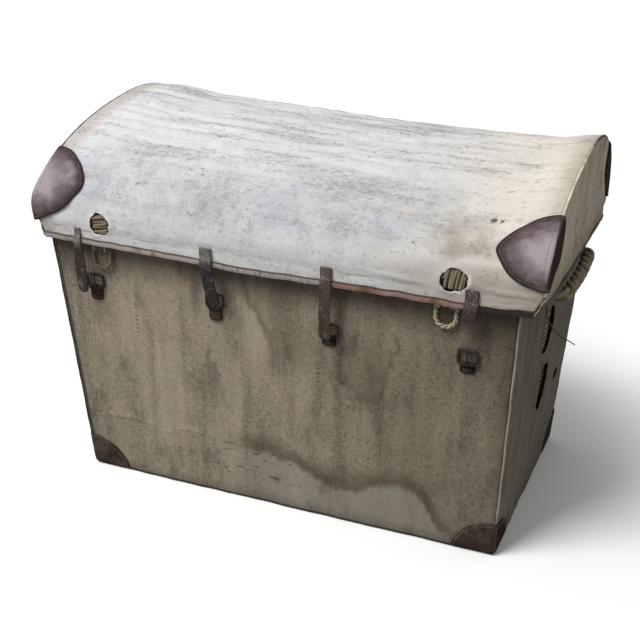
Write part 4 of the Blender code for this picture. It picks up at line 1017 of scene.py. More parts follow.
def lid_marks(place, colour):
    """Old pale canvas: cool clouds, cream at the right, long grey bands of painted wrinkle shade with dark
    specks in them, painted light on the skirt, painted shade along the rim crease, and marks at the rim.
    """
    x, y, z = parts(place)
    cloud = mottle(place, 0.11, 5.0, 0.62)
    fine = mottle(spread(place, (0.6, 1, 1)), 0.0060, 2.0, 0.7)
    rosy = smooth(mottle(place, 0.085, 4.0, 0.6), 0.52, 0.68)
    edge = smooth(x + cloud * 0.05 + fine * 0.02, 0.440, 0.505) + smooth(x - fine * 0.03, -0.425, -0.46) * 0.7
    warm = smooth(z + cloud * 0.05, 0.605, 0.55) * smooth(x + cloud * 0.16, 0.22, 0.46) * 0.62
    across, along = (x - 0.322) / 0.080, (z - 0.582) / 0.038
    smudge = across * across + along * along + mottle(place, 0.04, 4.0, 0.65) * 3.2
    wrinkle_shade_band = mottle(spread(place, (0.13, 1, 1)), 0.030, 3.0, 0.6)
    high = smooth(z, 0.56, 0.66)
    grime = smooth(mottle(place, 0.028, 4.0, 0.7), 0.58, 0.72) * smooth(mottle(place, 0.2), 0.45, 0.6)
    front = smooth(y, -0.24, -0.27)
    # Painted shade: a thin dark line along the rim crease, on the front.
    line = abs(z - RIM_CREASE_Z - (cloud - 0.5) * 0.008) + smooth(x, 0.16, 0.24) * 0.01
    line = smooth(line, 0.0026, 0.0) * smooth(mottle(spread(place, (1, 0, 0)), 0.10), 0.46, 0.60)
    frayed = []
    for middle, height, wide, tall in HASP_HOLES.values():
        across, along = (x - middle) / (wide / 2), (z - height) / (tall / 2)
        ring = (across * across + along * along) ** 0.5
        torn = smooth(ring + (fine - 0.5) * 0.9, 1.30, 1.08) * smooth(across - along, -0.7, 0.6)
        frayed.append((torn * front * 0.6, (236, 232, 224)))
    nick = [abs(x - middle) + abs(z - 0.611) * 1.7 for middle in (0.357, 0.3695)]
    nick = nick[0].math("MINIMUM", nick[0], nick[1] + 0.0015) + (fine - 0.5) * 0.022
    return washed(
        colour,
        (smooth(mottle(place, 0.14, 3.0), 0.44, 0.64) * 0.7, (177, 180, 187)),
        (rosy * 0.45, (192, 183, 173)),
        (smooth(z + cloud * 0.08, 0.640, 0.70) * 0.6, (228, 227, 226)),
        # Painted light: the skirt and the foot of the dome are painted paler than the lamp leaves them.
        (smooth(z, 0.580, 0.535) * 0.6, (222, 222, 220)),
        (smooth(x + cloud * 0.22, 0.26, 0.52) * 0.75, (224, 214, 198)),
        (edge * 0.75, (166, 154, 134)),
        (warm.math("MAXIMUM", warm, smooth(smudge, 2.6, 1.2) * 0.7), (144, 134, 121)),
        # Painted shade of the long wrinkles near the crown: soft grey bands. The dark specks gathered in them
        # are dirt.
        (smooth(wrinkle_shade_band, 0.46, 0.66) * high * 0.42, (166, 165, 165)),
        (smooth(fine * 0.6 + wrinkle_shade_band * 0.6, 0.60, 0.80) * (high * 0.28 + 0.32), (122, 118, 114)),
        (smooth(fine, 0.57, 0.72) * 0.25, (120, 116, 110)),
        (smooth(fine, 0.66, 0.74) * smooth(cloud, 0.48, 0.60) * 0.55, (96, 90, 84)),
        (grime * 0.35, (138, 134, 128)),
        # Painted shade along the rim crease.
        (line * front * 0.5, (104, 96, 86)),
        *frayed,
        (smooth(nick, 0.0068, 0.0040) * 0.85, (50, 44, 40)),
    )


cover_y, cover_z = lid_arch(0.0, LID_LOW + 0.0005)
skirt_z = np.linspace(SKIRT_HEM, LID_LOW, 14)
cover_arch = (np.append(tuck(skirt_z) - LID_HALF_DEPTH, cover_y), np.append(skirt_z, cover_z))
rim_length = length_gone(cover_arch)[13]
over = length_gone(cover_arch)[-1]
v, x = np.meshgrid(np.linspace(0, over, COVER_ROWS), np.linspace(-1, 1, COVER_COLUMNS), indexing="ij")
y, z, _, _ = along_arch(cover_arch, v)
x = x * (COVER_HALF - tuck(z))
crown = np.clip((z - SPRING) / LID_RISE, 0, 1)
bend = np.pi * (v + 0.011 * unevenness(x * 0.6, v, 0.20, 31)) / WRINKLE_APART
patch = np.clip(0.55 + 0.55 * unevenness(x * 0.5, v, 0.15, 32), 0.1, 1.2) * (0.14 + 0.86 * crown**1.4)
out = WRINKLE_DEPTH * patch * (np.sqrt(np.cos(bend) ** 2 + 0.05) - 0.45)
ribs = (0.5 + 0.5 * np.cos(2 * np.pi * x / STAKE_PITCH)) ** 2
out = out + 0.0005 * ribs + 0.0007 * unevenness(x, v, 0.06, 33)
front = 1 / (1 + np.exp(y / 0.02))
out = out + front * RIM_BULGE * hump(z, RIM_BULGE_Z, 0.016)
out = out - front * RIM_CREASE * hump(z + 0.003 * unevenness(x, 0 * x, 0.2, 34), RIM_CREASE_Z, 0.0042)
fold = 1 / (1 + np.exp((FOLDS_FROM - x) / 0.006))
for middle, slope, height in CORNER_FOLDS:
    out = out + fold * front * height * hump(z, middle + slope * (x - 0.40), FOLD_WIDE)
long_fold = hump(z, 0.519 - 0.085 * (x - 0.18), 0.0045) * hump(x, 0.235, 0.06)
out = out + front * LONG_FOLD * long_fold
under_strap = np.max([hump(x, middle, STRAP_PRESS) for middle in STRAP_X], axis=0) * front * (z < 0.521)
out = out * (1 - under_strap) * np.clip((COVER_HALF - abs(x)) / COVER_FLAT_EDGE, 0, 1)
holes = [(middle, rim_length + height - LID_LOW, *size) for middle, height, *size in HASP_HOLES.values()]
x, v, out, keep = open_holes(x, v, out, holes, 35, rag=0.14, curl=0.0016)
y, z, out_y, out_z = along_arch(cover_arch, v)
drop = hem_drop(x) * np.clip((DROP_FROM - z) / (DROP_FROM - SKIRT_HEM), 0, 1) * (y < 0)
y, z = y + out_y * out, z + out_z * out
cover = stack(x - corner_tuck(x, y, z), y, z - sag(x, z) - drop)
lid_canvas = canvas_finish("lid_canvas", LID_PALE, LID_DARK, lid_marks)
cover = fit(
    "lid_cover", [(cover, stack(x, v))], lid_canvas, "lid", "lid_canvas", "lid_canvas_top", "lid_skirt_front",
    keep=keep, thickness=CLOTH,
)

# Lid ends: a panel of the same canvas on each end, sewn to the cover with a welt round the arch
# and hanging below the rim as a skirt. They are dirtier than the top.
LID_END_PALE, LID_END_DARK = (216, 204, 182), (158, 146, 126)
LID_END_EDGE, LID_END_SLACK = 0.2796, 0.0009
# A bulge and a crease along the rim: depth, height and width of each
LID_END_RIM = ((0.0008, 0.530, 0.014), (-0.0016, 0.508, 0.005))
# Ripples of the skirt near its front corner
RIPPLE_DEPTH, RIPPLE_APART, RIPPLE_SLOPE, RIPPLE_IN = 0.0022, 0.017, 0.06, 0.0006


def end_marks(place, colour):
    """Brown damp toward the rim and dark blots along it."""
    _, _, z = parts(place)
    cloud = mottle(place, 0.05, 5.0, 0.65)
    small = mottle(place, 0.014, 4.0, 0.7)
    return washed(
        colour,
        (smooth(z + cloud * 0.06, 0.60, 0.52) * 0.5, (128, 112, 88)),
        (smooth(small * 0.6 + cloud * 0.5, 0.56, 0.68) * 0.5, (92, 80, 64)),
        (smooth(cloud, 0.56, 0.70) * 0.55, (98, 88, 74)),
    )


# The lid's welts: the same piping in paler tones, as painted light.
lid_piping_painted_light = welt_finish("lid_piping_painted_light", (226, 216, 196), (58, 50, 42))
lid_end_canvas = canvas_finish("lid_end_canvas", LID_END_PALE, LID_END_DARK, end_marks)
for end_name, end in ENDS:
    y = end * LID_END_EDGE * np.sin(np.linspace(-1, 1, 121) * np.pi / 2)
    top = np.interp(y, *lid_arch(WELT_INSET, SPRING))
    share = np.linspace(0, 1, 54)[:, None]
    z = SKIRT_HEM + (top - SKIRT_HEM) * share
    y = np.broadcast_to(y, z.shape)
    edge = np.minimum(1, (top - z) / FLAT_EDGE)
    out = LID_END_SLACK * (1 + unevenness(y, z, 0.13, 40 + end)) * edge
    rim = sum(depth * hump(z, *place) for depth, *place in LID_END_RIM)
    out = out + rim * np.minimum(1, edge + 0.4)
    ripple = RIPPLE_DEPTH * np.sin(2 * np.pi * (z + RIPPLE_SLOPE * y) / RIPPLE_APART)
    ripple = ripple * hump(y, -0.22, 0.04) * hump(z, 0.500, 0.016)
    x = end * (LID_HALF_LENGTH - tuck(z) + out + np.maximum(ripple, -RIPPLE_IN))
    drop = hem_drop(np.array(end * HEM_X[-1])) * (1 - share) + sag(end * LID_HALF_LENGTH, z)
    panel = stack(x - corner_tuck(x, y, z), y, z - drop)
    panel = fit(
        f"lid_end_cloth_{end_name}", [(panel, stack(y, z))], lid_end_canvas, "lid", "lid_canvas",
        f"lid_canvas_end_{end_name}", f"lid_skirt_{end_name}", thickness=CLOTH,
    )
    height, width = (z[-1] - SKIRT_HEM), abs(np.diff(y[0]))
    area = float((width * (height[1:] + height[:-1]) / 2).sum())
    flat = (2 * LID_END_EDGE, LID_LOW + LID_RISE - SKIRT_HEM)
    arch = lid_arch(WELT_INSET, LID_LOW + 0.0004)
    y, z, _, _ = along_arch(arch, np.linspace(0, length_gone(arch)[-1], 170))
    line = stack(end * (LID_HALF_LENGTH - WELT_INSET), y, z - sag(end * LID_HALF_LENGTH, z))
    swell = WELT_RADIUS * (1 + 0.06 * np.sin(y * 190) + 0.04 * np.sin(z * 260))
    fit(f"lid_welt_{end_name}", [rods(line, (1, 0, 0), swell, 10)], lid_piping_painted_light, "lid", "lid_canvas")

# Binding: a strip of thin leather folded over the hem of the skirt on three sides and sewn
# through with dark thread. It has faded to a pinkish tan in places.
BINDING_OUT, BINDING_LOW, BINDING_SEAM = 0.0023, 0.4807, 0.0104
BINDING_BEND, HEM_MIDDLE = 0.004, 0.487
BINDING_PROFILE = (
    (0.0020, 0.0123), (0.0023, 0.0116), (0.0024, 0.0065), (0.0023, 0.0016), (0.0017, 0.0004), (0.0006, 0.0),
    (-0.0021, 0.0), (-0.0032, 0.0004), (-0.0038, 0.0016), (-0.0038, 0.0116), (-0.0035, 0.0123),
    (-0.0021, 0.0123), (-0.0018, 0.0118), (-0.0018, 0.0024), (0.0003, 0.0024), (0.0003, 0.0118),
    (0.0006, 0.0123),
)
TAN_PINK, TAN_BROWN, TAN_GREY, TAN_DARK = (168, 154, 148), (138, 108, 95), (156, 149, 144), (84, 71, 62)
BINDING_STITCH, BINDING_STITCH_LONG = 0.0052, 0.0023


def binding_finish(name):
    """Thin leather: pinkish where it is sound, grey and cracked across where it has dried out, with painted
    shade along its top edge under the skirt.
    """
    material, place, flat = new_finish(name, Specular_IOR_Level=0.12)
    x, y, _ = parts(place)
    cloud = mottle(place, 0.03, 4.0, 0.6)
    dry = smooth(x, -0.15, -0.11) * smooth(x, 0.10, 0.06)
    dry = dry + smooth(x, -0.36, -0.42) + smooth(y, -0.24, -0.20)
    _, up, _ = parts(flat)
    crack = smooth(mottle(spread(place, (1, 1, 0.12)), 0.0035, 2.0), 0.60, 0.68)
    crack = crack * smooth(dry + cloud, 0.6, 1.2)
    colour = washed(
        blend(smooth(x + cloud * 0.06, 0.06, 0.16), TAN_PINK, TAN_BROWN),
        (smooth(dry * 0.55 + cloud * 0.9, 0.36, 0.80), TAN_GREY),
        (smooth(cloud, 0.50, 0.32) * 0.7, TAN_DARK),
        (smooth(x, 0.335, 0.365), (46, 40, 35)),
        # Painted shade: a dark line along the binding's top edge, where it meets the skirt.
        (smooth(up + (cloud - 0.5) * 0.006, 0.0086, 0.0112) * 0.75, (58, 49, 42)),
        (crack * 0.6, (64, 54, 48)),
    )
    return apply_finish(material, colour, cloud * 0.2 + 0.55, cloud - crack * 0.5, 0.0006)


side_x, side_y = LID_HALF_LENGTH - tuck(HEM_MIDDLE), LID_HALF_DEPTH - tuck(HEM_MIDDLE)
turn = np.linspace(0, np.pi / 2, 7)
bend_x, bend_y = BINDING_BEND * (1 - np.cos(turn)), BINDING_BEND * (1 - np.sin(turn))
to_front = np.linspace(LID_HALF_DEPTH, BINDING_BEND - side_y, 70)
across = np.linspace(BINDING_BEND - side_x, side_x - BINDING_BEND, 220)
path_x, path_y, angle = np.concatenate([stack(*run) for run in (
    (-side_x, to_front[:-1], np.pi), (bend_x - side_x, bend_y - side_y, np.pi + turn),
    (across[1:-1], -side_y, 1.5 * np.pi), (side_x - bend_x[::-1], bend_y[::-1] - side_y, 1.5 * np.pi + turn),
    (side_x, to_front[-2::-1], 2 * np.pi),
)]).T
gone = length_gone((path_x, path_y))


def on_binding(length, out, up):
    """A place on the binding: a length along the hem, out from the skirt and up from the fold."""
    x, y, turned = (np.interp(length, gone, part) for part in (path_x, path_y, angle))
    ripple, wave = (0.0005 * unevenness(length, 0 * length, *kind) for kind in ((0.09, 51), (0.05, 52)))
    out = out - tuck(BINDING_LOW + up) + tuck(HEM_MIDDLE) + ripple
    z = BINDING_LOW + up - hem_drop(np.clip(x, HEM_X[0], HEM_X[-1])) + wave
    x, y = x + out * np.cos(turned), y + out * np.sin(turned)
    return stack(x - corner_tuck(x, y, z), y, z)


out, up = np.array((*BINDING_PROFILE, BINDING_PROFILE[0])).T
strip = on_binding(*np.broadcast_arrays(gone[:, None], out, up))
tips = [np.broadcast_to(strip[end].mean(0), strip[:1].shape) for end in (0, -1)]
strip = np.concatenate([tips[0], strip, tips[1]])
flat = stack(np.pad(gone, 1, mode="edge")[:, None], up)
leather = binding_finish("binding_leather")
fit("hem_binding", [(strip, flat)], leather, "lid", "binding_leather", "lid_binding")
sewn = np.arange(0.004, gone[-1] - 0.002, BINDING_STITCH)
seam = on_binding(sewn, BINDING_OUT + 0.0001, BINDING_SEAM)
ahead = on_binding(sewn + 0.001, BINDING_OUT, BINDING_SEAM) - seam
turned = np.interp(sewn, gone, angle)
dark_thread = thread_finish("dark_thread", (70, 60, 52), (30, 26, 23))
sew("hem_stitches", "lid", seam, ahead, stack(np.cos(turned), np.sin(turned), 0), BINDING_STITCH_LONG,
    thread=dark_thread, slot="binding_leather")

# Leather caps on the lid: hide blocked over the edge between dome and end, sewn round its rim
# and along the fold. Each is a rounded shape with a point toward the middle of the trunk.
CAP_MIDDLE, CAP_PROUD, CAP_FOLD, CAP_SEAM, CAP_LOW = 0.0855, 0.0042, 0.008, 0.0115, 0.0123
CAP_BULGE, CAP_HANG = 0.010, 0.014
# How far a cap reaches from its middle at some angles
CAP_DEGREES = (0, 25, 48, 68, 87, 92, 104, 119, 140, 159, 180, 205, 230, 252, 270, 288, 312, 340)
CAP_REACH = (
    0.078, 0.078, 0.077, 0.083, 0.0925, 0.0930, 0.084, 0.079, 0.0715,
    0.0654, 0.064, 0.060, 0.052, 0.052, 0.056, 0.062, 0.070, 0.077,
)
CAP_PALE, CAP_MID, CAP_DARK = (136, 121, 124), (102, 87, 90), (58, 47, 47)


def cap_sheen_shade_and_edge(flat, colour, cloud):
    """A painted sheen in the middle of the side toward the front, painted shade on the end side, and a dark
    edge.
    """
    ring, around, _ = parts(flat)
    front = smooth(around.math("SINE", around), -0.02, 0.16)
    return washed(
        colour,
        # Painted sheen: a pale lilac middle on the side toward the front.
        (smooth(ring + (cloud - 0.5) * 1.6, 0.95, 0.15) * front * 0.75, (178, 167, 173)),
        # Painted shade on the end side.
        ((1 - front) * 0.8, (66, 55, 51)),
        (smooth(ring, 0.78, 0.98) * 0.7, (50, 40, 38)),
    )


def cap_reach(around):
    """How far the flat shape reaches at an angle: a few lengths joined, with the bends rounded."""
    fine = np.interp(np.arange(-5, 366), CAP_DEGREES, CAP_REACH, period=360)
    eased = np.convolve(fine, np.ones(11) / 11, "valid")
    return np.interp(np.degrees(around) % 360, np.arange(361), eased)


def cap_surface(ring, around, end, toward):
    """Places on a cap: a flat shape with a point to each side, folded over the edge of the lid.

    From the middle, 0 degrees is up the dome and 90 degrees toward the middle of the trunk. What
    lies beyond the edge turns down the end, and the fold is an arc of its own radius.
    """
    is_left = end < 0
    hang = CAP_HANG * is_left * hump(np.degrees(around) % 360, 190, 36)
    reach = ring * (cap_reach(around) + hang)
    beyond, up = reach * np.sin(around), CAP_MIDDLE + reach * np.cos(around)
    along, down = rounded(stack(np.maximum(beyond, 0), np.maximum(-beyond, 0)), CAP_FOLD)
    up = np.maximum(up, 0)
    y, z, out_y, out_z = along_arch(rim_arch, up if toward < 0 else length_gone(rim_arch)[-1] - up)
    bulge = CAP_BULGE * is_left * hump(along, 0, 0.045) * hump(down, 0, 0.05) * hump(up, 0.042, 0.045)
    x = end * (LID_HALF_LENGTH + CAP_PROUD - along + bulge)
    z = z + out_z * (CAP_PROUD - down)
    return stack(x, y + out_y * (CAP_PROUD - down), z - sag(x, z))


rim_arch = lid_arch(0.0, LID_LOW - CAP_LOW)
cap_hide = leather_finish("cap_hide", CAP_PALE, CAP_MID, CAP_DARK, 0.4, cap_sheen_shade_and_edge)
for corner, end, toward in CORNERS:
    ring, around = fan(2 * np.pi, 133, end * toward < 0)
    grids = [(cap_surface(ring, around, end, toward), stack(ring, around))]
    fit(f"lid_cap_{corner}", grids, cap_hide, "lid", "leather", f"lid_corner_{corner}", thickness=HIDE)
    fold_up = np.linspace(-0.058, 0.058, 20)
    fold_around = np.arctan2(CAP_SEAM, fold_up)
    around = np.append(np.linspace(0, 2 * np.pi, 84, endpoint=False), fold_around)
    ring = np.append(np.full(84, 0.935), np.hypot(fold_up, CAP_SEAM) / cap_reach(fold_around))
    seam = cap_surface(ring, around, end, toward)
    outer = cap_surface(ring * 1.02, around, end, toward) - seam
    ahead = cap_surface(ring, around + 0.01, end, toward) - seam
    out = np.cross(ahead, outer) * end * toward
    ahead[84:] = np.gradient(seam[84:], axis=0)
    sew(f"cap_stitches_{corner}", "lid", seam, ahead, out)

# Leather hinges: two straps at the back, each sewn with one half to the body and the other to
# the lid, that bend on the line between them.
HINGE_X, HINGE_WIDTH, HINGE_HIDE, HINGE_ROUND = 0.27, 0.045, 0.003, 0.008
HINGE_DOWN, HINGE_UP, HINGE_SEAM = 0.0750, 0.0747, 0.004
HINGE_LEAVES = (("lower", "trunk_body", 0.450, 0.505), ("upper", "lid", 0.536, 0.589))

hinge_z = np.linspace(BODY_HEIGHT - HINGE_DOWN, LID_LOW + HINGE_UP, 60)
on_body = BODY_MIDDLE + half_depth(hinge_z)
hinge_y = np.where(hinge_z < BODY_HEIGHT, on_body, lid_sides(hinge_z, 0.0)[1]) + 0.0003 + HINGE_HIDE
from_tip = np.minimum(1, np.minimum(hinge_z - hinge_z[0], hinge_z[-1] - hinge_z) / HINGE_ROUND)
narrow = np.sqrt(np.clip(1 - (1 - from_tip) ** 2, 0, 1)) * HINGE_ROUND
for end_name, end in ENDS:
    x = end * HINGE_X + (HINGE_WIDTH / 2 - HINGE_ROUND + narrow)[:, None] * np.linspace(1, -1, 13)
    strap = stack(x, hinge_y[:, None], hinge_z[:, None] - sag(x, hinge_z[:, None]))
    strap = add_piece(f"hinge_strap_{end_name}", [(strap, np.zeros(2))], hide, thickness=HINGE_HIDE)
    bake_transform(strap)
    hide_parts(f"hinge_{end_name}_lower", f"hinge_{end_name}_upper")
    for leaf, body, low, high in HINGE_LEAVES:
        z = np.tile(np.linspace(low, high, 11), 2)
        x = end * HINGE_X + np.repeat([-1, 1], 11) * (HINGE_WIDTH / 2 - HINGE_SEAM)
        y = np.interp(z, hinge_z, hinge_y)
        ahead = stack(0, np.interp(z + 0.001, hinge_z, hinge_y) - y, 0.001)
        sew(f"hinge_stitches_{end_name}_{leaf}", body, stack(x, y, z - sag(x, z)), ahead, (0, 1, 0))

# Front straps: four harness-leather straps sewn by their top end to the skirt, hanging over the
# binding toward the buckles. All are cracked and worn, and the fourth is torn off short.
STRAP_TOP, STRAP_HIDE, STRAP_SEAM = 0.514, 0.003, 0.5125
STRAP_STITCH, STRAP_HOLE = 0.0018, 0.0044
HEM_TOP, STRAP_FREE, STRAP_BOW, STRAP_CRIMP = 0.4933, 0.490, 0.0022, 0.0004
# For each strap: its lowest point, its lean, half widths from top to tip, the tip's rounding, and
# the holes' distances from the tip
STRAPS = (
    (0.392, 0.100, (0.0056, 0.0060, 0.0112, 0.0114, 0.0090), 0.0085, (0.022, 0.040)),
    (0.413, 0.25, (0.0112, 0.0110, 0.0106), 0.0030, (0.030,)),
    (0.3855, 0.01, (0.0100, 0.0102, 0.0100), 0.0020, (0.018, 0.042, 0.066)),
    (0.458, -0.15, (0.0112, 0.0112, 0.0108), 0.0040, (0.012,)),
)
# The straps' tones on the skirt and below it
STRAP_LOOKS = (
    ((116, 108, 100), (48, 38, 32)), ((104, 100, 97), (30, 27, 27)),
    ((84, 75, 71), (62, 51, 46)), ((78, 65, 63), (54, 43, 42)),
)


def strap_finish(name, upper, lower):
    """Harness leather: one tone on the skirt and a darker, shinier one below, cracked across."""
    material, place, _ = new_finish(name, Specular_IOR_Level=0.14)
    _, _, z = parts(place)
    cloud = mottle(place, 0.016, 4.0, 0.65)
    pits = mottle(place, 0.0032, 2.0, 0.7)
    cells = {"Vector": spread(place, (1, 1, 1.8)), "Scale": 260.0}
    crack = place.node("TexVoronoi", {"feature": "DISTANCE_TO_EDGE"}, cells)
    split = smooth(crack, 0.06, 0.0) * smooth(mottle(place, 0.02), 0.45, 0.6)
    worn = smooth(z + cloud * 0.02, 0.480, 0.512)
    colour = washed(
        blend(worn, lower, upper),
        (smooth(cloud, 0.54, 0.72) * 0.3, (150, 140, 130)),
        (smooth(pits, 0.55, 0.68) * (worn * 0.4 + 0.1), (166, 156, 146)),
        (smooth(pits, 0.44, 0.32) * 0.6, (24, 20, 18)),
        (split * 0.7, (26, 22, 20)),
    )
    return apply_finish(material, colour, worn * 0.25 + cloud * 0.3 + 0.26, cloud - split * 0.6, 0.0009)


for number, (middle, strap, look) in enumerate(zip(STRAP_X, STRAPS, STRAP_LOOKS), 1):
    low, lean, widths, tip, holes = strap
    fall = STRAP_TOP - low
    gone = np.linspace(0, fall, int(fall / 0.0017))[:, None]
    half = np.interp(fall - gone, np.linspace(0, fall, 40), softened(widths, 40, 15))
    round_off = tip - np.sqrt(np.clip(tip**2 - np.clip(tip - gone, 0, tip) ** 2, 0, None))
    u = np.linspace(-1, 1, 15) * (half - round_off)
    v = np.broadcast_to(gone, u.shape)
    holes = [(0.0, from_tip, STRAP_HOLE, STRAP_HOLE) for from_tip in holes]
    u, v, out, keep = open_holes(u, v, 0 * u, holes, 60 + number, rag=0.0, curl=0.0)
    z = low + v
    drop = hem_drop(np.array(middle))
    level = np.array([low - 0.001, HEM_TOP - drop, 0.4970 - drop, 0.505, STRAP_TOP])
    behind = tuck(level) - LID_HALF_DEPTH - 0.0006
    behind[:2] = tuck(HEM_TOP) - LID_HALF_DEPTH - BINDING_OUT - 0.0008
    bowed = STRAP_BOW * np.sin(np.pi * np.clip((STRAP_FREE - z) / (STRAP_FREE - low), 0, 1))
    crimp = abs(STRAP_CRIMP * unevenness(u, z, 0.014, 70 + number))
    y = np.interp(z, level, behind) - STRAP_HIDE - bowed - crimp
    x = middle + u + lean * np.maximum(0, BINDING_LOW - z) + 0.0006 * unevenness(0 * z, z, 0.04, 80 + number)
    leather = strap_finish(f"strap_leather_{number}", *look)
    grids = [(stack(x, y, z), stack(u, v))]
    strap = add_piece(f"hanging_strap_{number}", grids, leather, keep, STRAP_HIDE)
    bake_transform(strap)
    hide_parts(f"strap_{number}")
    x = middle + np.linspace(-0.7, 0.7, 4) * widths[0]
    y = tuck(STRAP_SEAM) - LID_HALF_DEPTH - STRAP_HIDE - 0.0007
    sew(f"strap_stitches_{number}", "lid", stack(x, y, STRAP_SEAM), (1, 0, 0), (0, -1, 0), STRAP_STITCH)

# Buckles: each is a square iron frame and a prong, held by a leather chape that is folded round
# the heel bar and sewn to the canvas.
# Each heel bar's place along the front and its height
BUCKLES = ((-0.3638, 0.395), (-0.1202, 0.396), (0.0958, 0.378), (0.3406, 0.374))
STANDOFF = 0.0053
FRAME_HALF, FRAME_TALL, FRAME_BEND, FRAME_WIRE = 0.0162, 0.025, 0.005, 0.0025
PRONG_EYE, PRONG_WIRE, PRONG_REACH = 0.0040, 0.0016, 0.028
CHAPE_BACK, CHAPE_FRONT, CHAPE_FOLD, CHAPE_LENGTH = 0.0050, 0.0006, 0.0044, 0.026
CHAPE_HALF, CHAPE_SLIT, CHAPE_ROUND, CHAPE_HIDE = 0.0125, 0.0022, 0.006, 0.0019
CHAPE_FRONT_TOP, CHAPE_SLIT_LOW, CHAPE_WORN = 0.0066, 0.0068, (0.0, 0.0, 0.45, 0.45)
CHAPE_SEAMS, CHAPE_STITCH, CHAPE_THREAD = (-0.0095, -0.0215), 0.0014, 0.0005
IRON_DARK, IRON_WORN, IRON_RUST = (32, 29, 28), (118, 110, 102), (58, 45, 37)


def iron_finish(name, dark, worn, rust):
    """Old iron: a dark skin, rust in patches, and pale bare metal where it has been rubbed."""
    material, place, _ = new_finish(name, Metallic=0.75)
    cloud = mottle(place, 0.007, 4.0, 0.65)
    fine = mottle(place, 0.0016, 3.0, 0.7)
    bare = smooth(cloud * 0.5 + fine * 0.6, 0.60, 0.74)
    colour = washed(blend(smooth(cloud, 0.46, 0.66) * 0.8, dark, rust), (bare, worn))
    return apply_finish(material, colour, fine * 0.4 + 0.32, fine, 0.0003)


def seated(place, x, z):
    """From a buckle's own axes (along its bar, into the wall, up the wall) to the trunk's."""
    lean = np.arctan2(BODY_TAPER, BODY_HEIGHT)
    across, into, up = np.moveaxis(place, -1, 0)
    into = into - STANDOFF
    y = BODY_MIDDLE - half_depth(z) + into * np.cos(lean) - up * np.sin(lean)
    return stack(x + across, y, z + into * np.sin(lean) + up * np.cos(lean))


iron = iron_finish("aged_iron", IRON_DARK, IRON_WORN, IRON_RUST)
turn = np.linspace(0, np.pi / 2, 7)
arc_x, arc_z = FRAME_HALF - FRAME_BEND * (1 - np.cos(turn)), FRAME_BEND * (1 - np.sin(turn))
frame_x = np.concatenate([arc_x[::-1], arc_x, -arc_x[::-1], -arc_x])
frame_z = np.concatenate([arc_z[::-1], FRAME_TALL - arc_z, FRAME_TALL - arc_z[::-1], arc_z])
frame_line, _ = even_loop(stack(frame_x, 0 * frame_x, frame_z), 120)
angle = np.pi + np.radians(np.linspace(0, 230, 24))
prong_line = np.concatenate([
    stack(0, -PRONG_EYE, np.linspace(PRONG_REACH, 0.001, 12)),
    stack(0, PRONG_EYE * np.cos(angle), PRONG_EYE * np.sin(angle)),
])
prong_wire = PRONG_WIRE * np.append(np.linspace(0.75, 1, 12), np.ones(24))
angle = np.linspace(0, 2 * np.pi - np.arccos(CHAPE_FRONT / CHAPE_FOLD), 20)
strip_y, strip_z = np.concatenate([
    stack(CHAPE_BACK, np.linspace(-CHAPE_LENGTH, -0.0022, 14)),
    stack(CHAPE_FOLD * np.cos(angle), CHAPE_FOLD * np.sin(angle)),
    stack(CHAPE_FRONT, np.linspace(-CHAPE_FRONT_TOP, -CHAPE_LENGTH, 13)),
]).T
share = np.linspace(1, CHAPE_SLIT / CHAPE_HALF, 6)
share = np.append(share, -share[::-1])
from_end = np.clip(CHAPE_ROUND - (strip_z + CHAPE_LENGTH), 0, CHAPE_ROUND)
strip_half = CHAPE_HALF - CHAPE_ROUND + np.sqrt(CHAPE_ROUND**2 - 0.98 * from_end**2)
chape = stack(strip_half[:, None] * share, strip_y[:, None], strip_z[:, None])
keep = np.ones((len(strip_z) - 1, 11), bool)
keep[np.minimum(strip_z[1:], strip_z[:-1]) > -CHAPE_SLIT_LOW, 5] = False
chape_leather = leather_finish("chape_leather", (96, 84, 74), (62, 52, 46), (34, 28, 26), 0.35)
for number, (seat, worn) in enumerate(zip(BUCKLES, CHAPE_WORN), 1):
    wires = (
        ("frame", rods(seated(frame_line, *seat), (0, -1, 0), FRAME_WIRE, 10, closed=True)),
        ("prong", rods(seated(prong_line, *seat), (1, 0, 0), prong_wire, 8)),
    )
    for part, wire in wires:
        node = f"buckle_{number}_{part}"
        fit(f"iron_{part}_{number}", [wire], iron, node, "iron", node)
    tail = np.minimum(chape[..., 2] + CHAPE_FRONT_TOP, 0)
    cut = seated(chape - stack(0, 0, tail * worn), *seat)
    fit(
        f"folded_chape_{number}", [(cut, np.zeros(2))], chape_leather, "trunk_body", "leather",
        f"buckle_{number}_chape", keep=keep, thickness=CHAPE_HIDE,
    )
    low = CHAPE_SEAMS[1] * (1 - worn) - 0.003 * worn
    row_x, row_z = np.tile([-0.006, -0.002, 0.002, 0.006], 2), np.repeat([CHAPE_SEAMS[0], low], 4)
    seam = seated(stack(row_x, CHAPE_FRONT - 0.0002, row_z), *seat)
    sew(f"chape_stitches_{number}", "trunk_body", seam, (1, 0, 0), (0, -1, 0), CHAPE_STITCH, CHAPE_THREAD)

# Hasps: a willow rod lashed round the lid's border ends in two eyes, and a loop of two twisted
# rods hangs in them below the skirt, where a peg once closed the trunk.
HASP_Y, HASP_Z = -0.26595, 0.4767
HASP_HALF, HASP_DROP, HASP_ROD, HASP_BEND, HASP_BACK = 0.0175, 0.040, 0.0040, 0.0048, 0.0038
LASHING_ROD, LASHING_EYE, LASHING_HALF, LASHING_HIGH = 0.0018, 0.0051, 0.011, 0.5182
WRAP_ROD, WRAP_TURNS, WRAP_Y, WRAP_DEEP = 0.0027, 6, -0.2782, 0.0022
HASP_LAY, LASHING_KNEE = 0.018, 0.0036
HASPS = (("left", -0.343), ("right", 0.301))

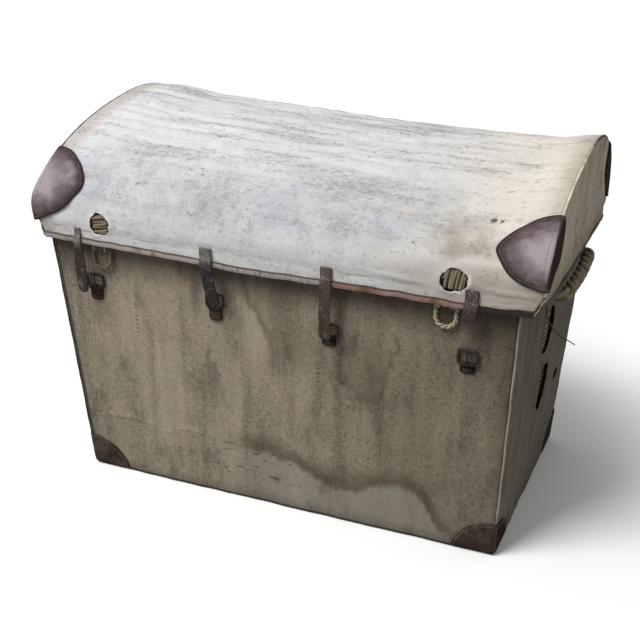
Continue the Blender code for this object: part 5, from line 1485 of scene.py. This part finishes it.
arc = np.linspace(np.pi, 2 * np.pi, 30)
turn = np.linspace(0, np.pi / 2, 7)
bend_x, bend_z = HASP_HALF - HASP_BEND * (1 - np.sin(turn)), -HASP_BEND * (1 - np.cos(turn))
loop_x, loop_z = np.concatenate([
    stack(-bend_x, bend_z), HASP_HALF * stack(np.cos(arc), 1 + np.sin(arc)) - (0, HASP_DROP),
    stack(bend_x, bend_z)[::-1],
]).T
loop_y = HASP_Y + HASP_BACK * np.sin(np.clip(-loop_z / 0.006, 0, 1) * np.pi / 2)
angle, knee = np.radians(70 - np.linspace(0, 250, 22)), np.linspace(0, np.pi / 2, 6)
eye = np.concatenate([
    stack(-LASHING_HALF, HASP_Y + LASHING_EYE * np.cos(angle), HASP_Z + LASHING_EYE * np.sin(angle)),
    stack(LASHING_KNEE * (1 - np.cos(knee)) - LASHING_HALF, HASP_Y - LASHING_EYE,
          LASHING_HIGH - LASHING_KNEE * (1 - np.sin(knee))),
])
eye = np.concatenate([eye, eye[::-1] * (-1, 1, 1)])
wrap = np.linspace(0, 2 * np.pi * WRAP_TURNS, 24 * WRAP_TURNS)
step, around = np.linspace(-1, 1, wrap.size), np.sin(wrap + 0.5 * np.sin(wrap * 0.37))
step = step + 0.10 * around + 0.07 * np.sin(wrap * 0.61 + 1)
wrap_y = WRAP_Y - WRAP_DEEP * np.cos(wrap) * (1 + 0.4 * np.sin(wrap * 0.45))
hasp_looks = {
    "left": willow_finish("brown_willow", (168, 156, 136), (88, 76, 62), (150, 142, 128)),
    "right": willow_finish("pale_willow", (190, 177, 152), (92, 79, 62), (164, 156, 140)),
}
for side, middle in HASPS:
    loop = stack(middle + loop_x, loop_y, HASP_Z + loop_z)
    strands = twisted_loop(loop, (0, 1, 0), 2, HASP_ROD / 2, HASP_LAY, 200, number=600)
    look = dark_willow if side == "left" else hasp_looks[side]
    fit(f"twisted_hasp_{side}", [strands], look, f"hasp_{side}_loop", "willow", f"hasp_{side}_loop")
    lashing = rods(eye + (middle, 0, 0), (0.3, 1, 0.2), LASHING_ROD, 8, number=610)
    hole_x, hole_z, wide, tall = HASP_HOLES[side]
    ways = (around, step) if side == "left" else (step, around)
    x, z = hole_x + (wide / 2 - 2 * WRAP_ROD) * ways[0], hole_z + (tall / 2 - 2 * WRAP_ROD) * ways[1]
    wraps = rods(stack(x, wrap_y, z), (0, 1, 0), WRAP_ROD, 7, number=620)
    fit(f"hasp_binding_{side}", [lashing, wraps], hasp_looks[side], "lid", "willow", f"hasp_{side}_lashing")
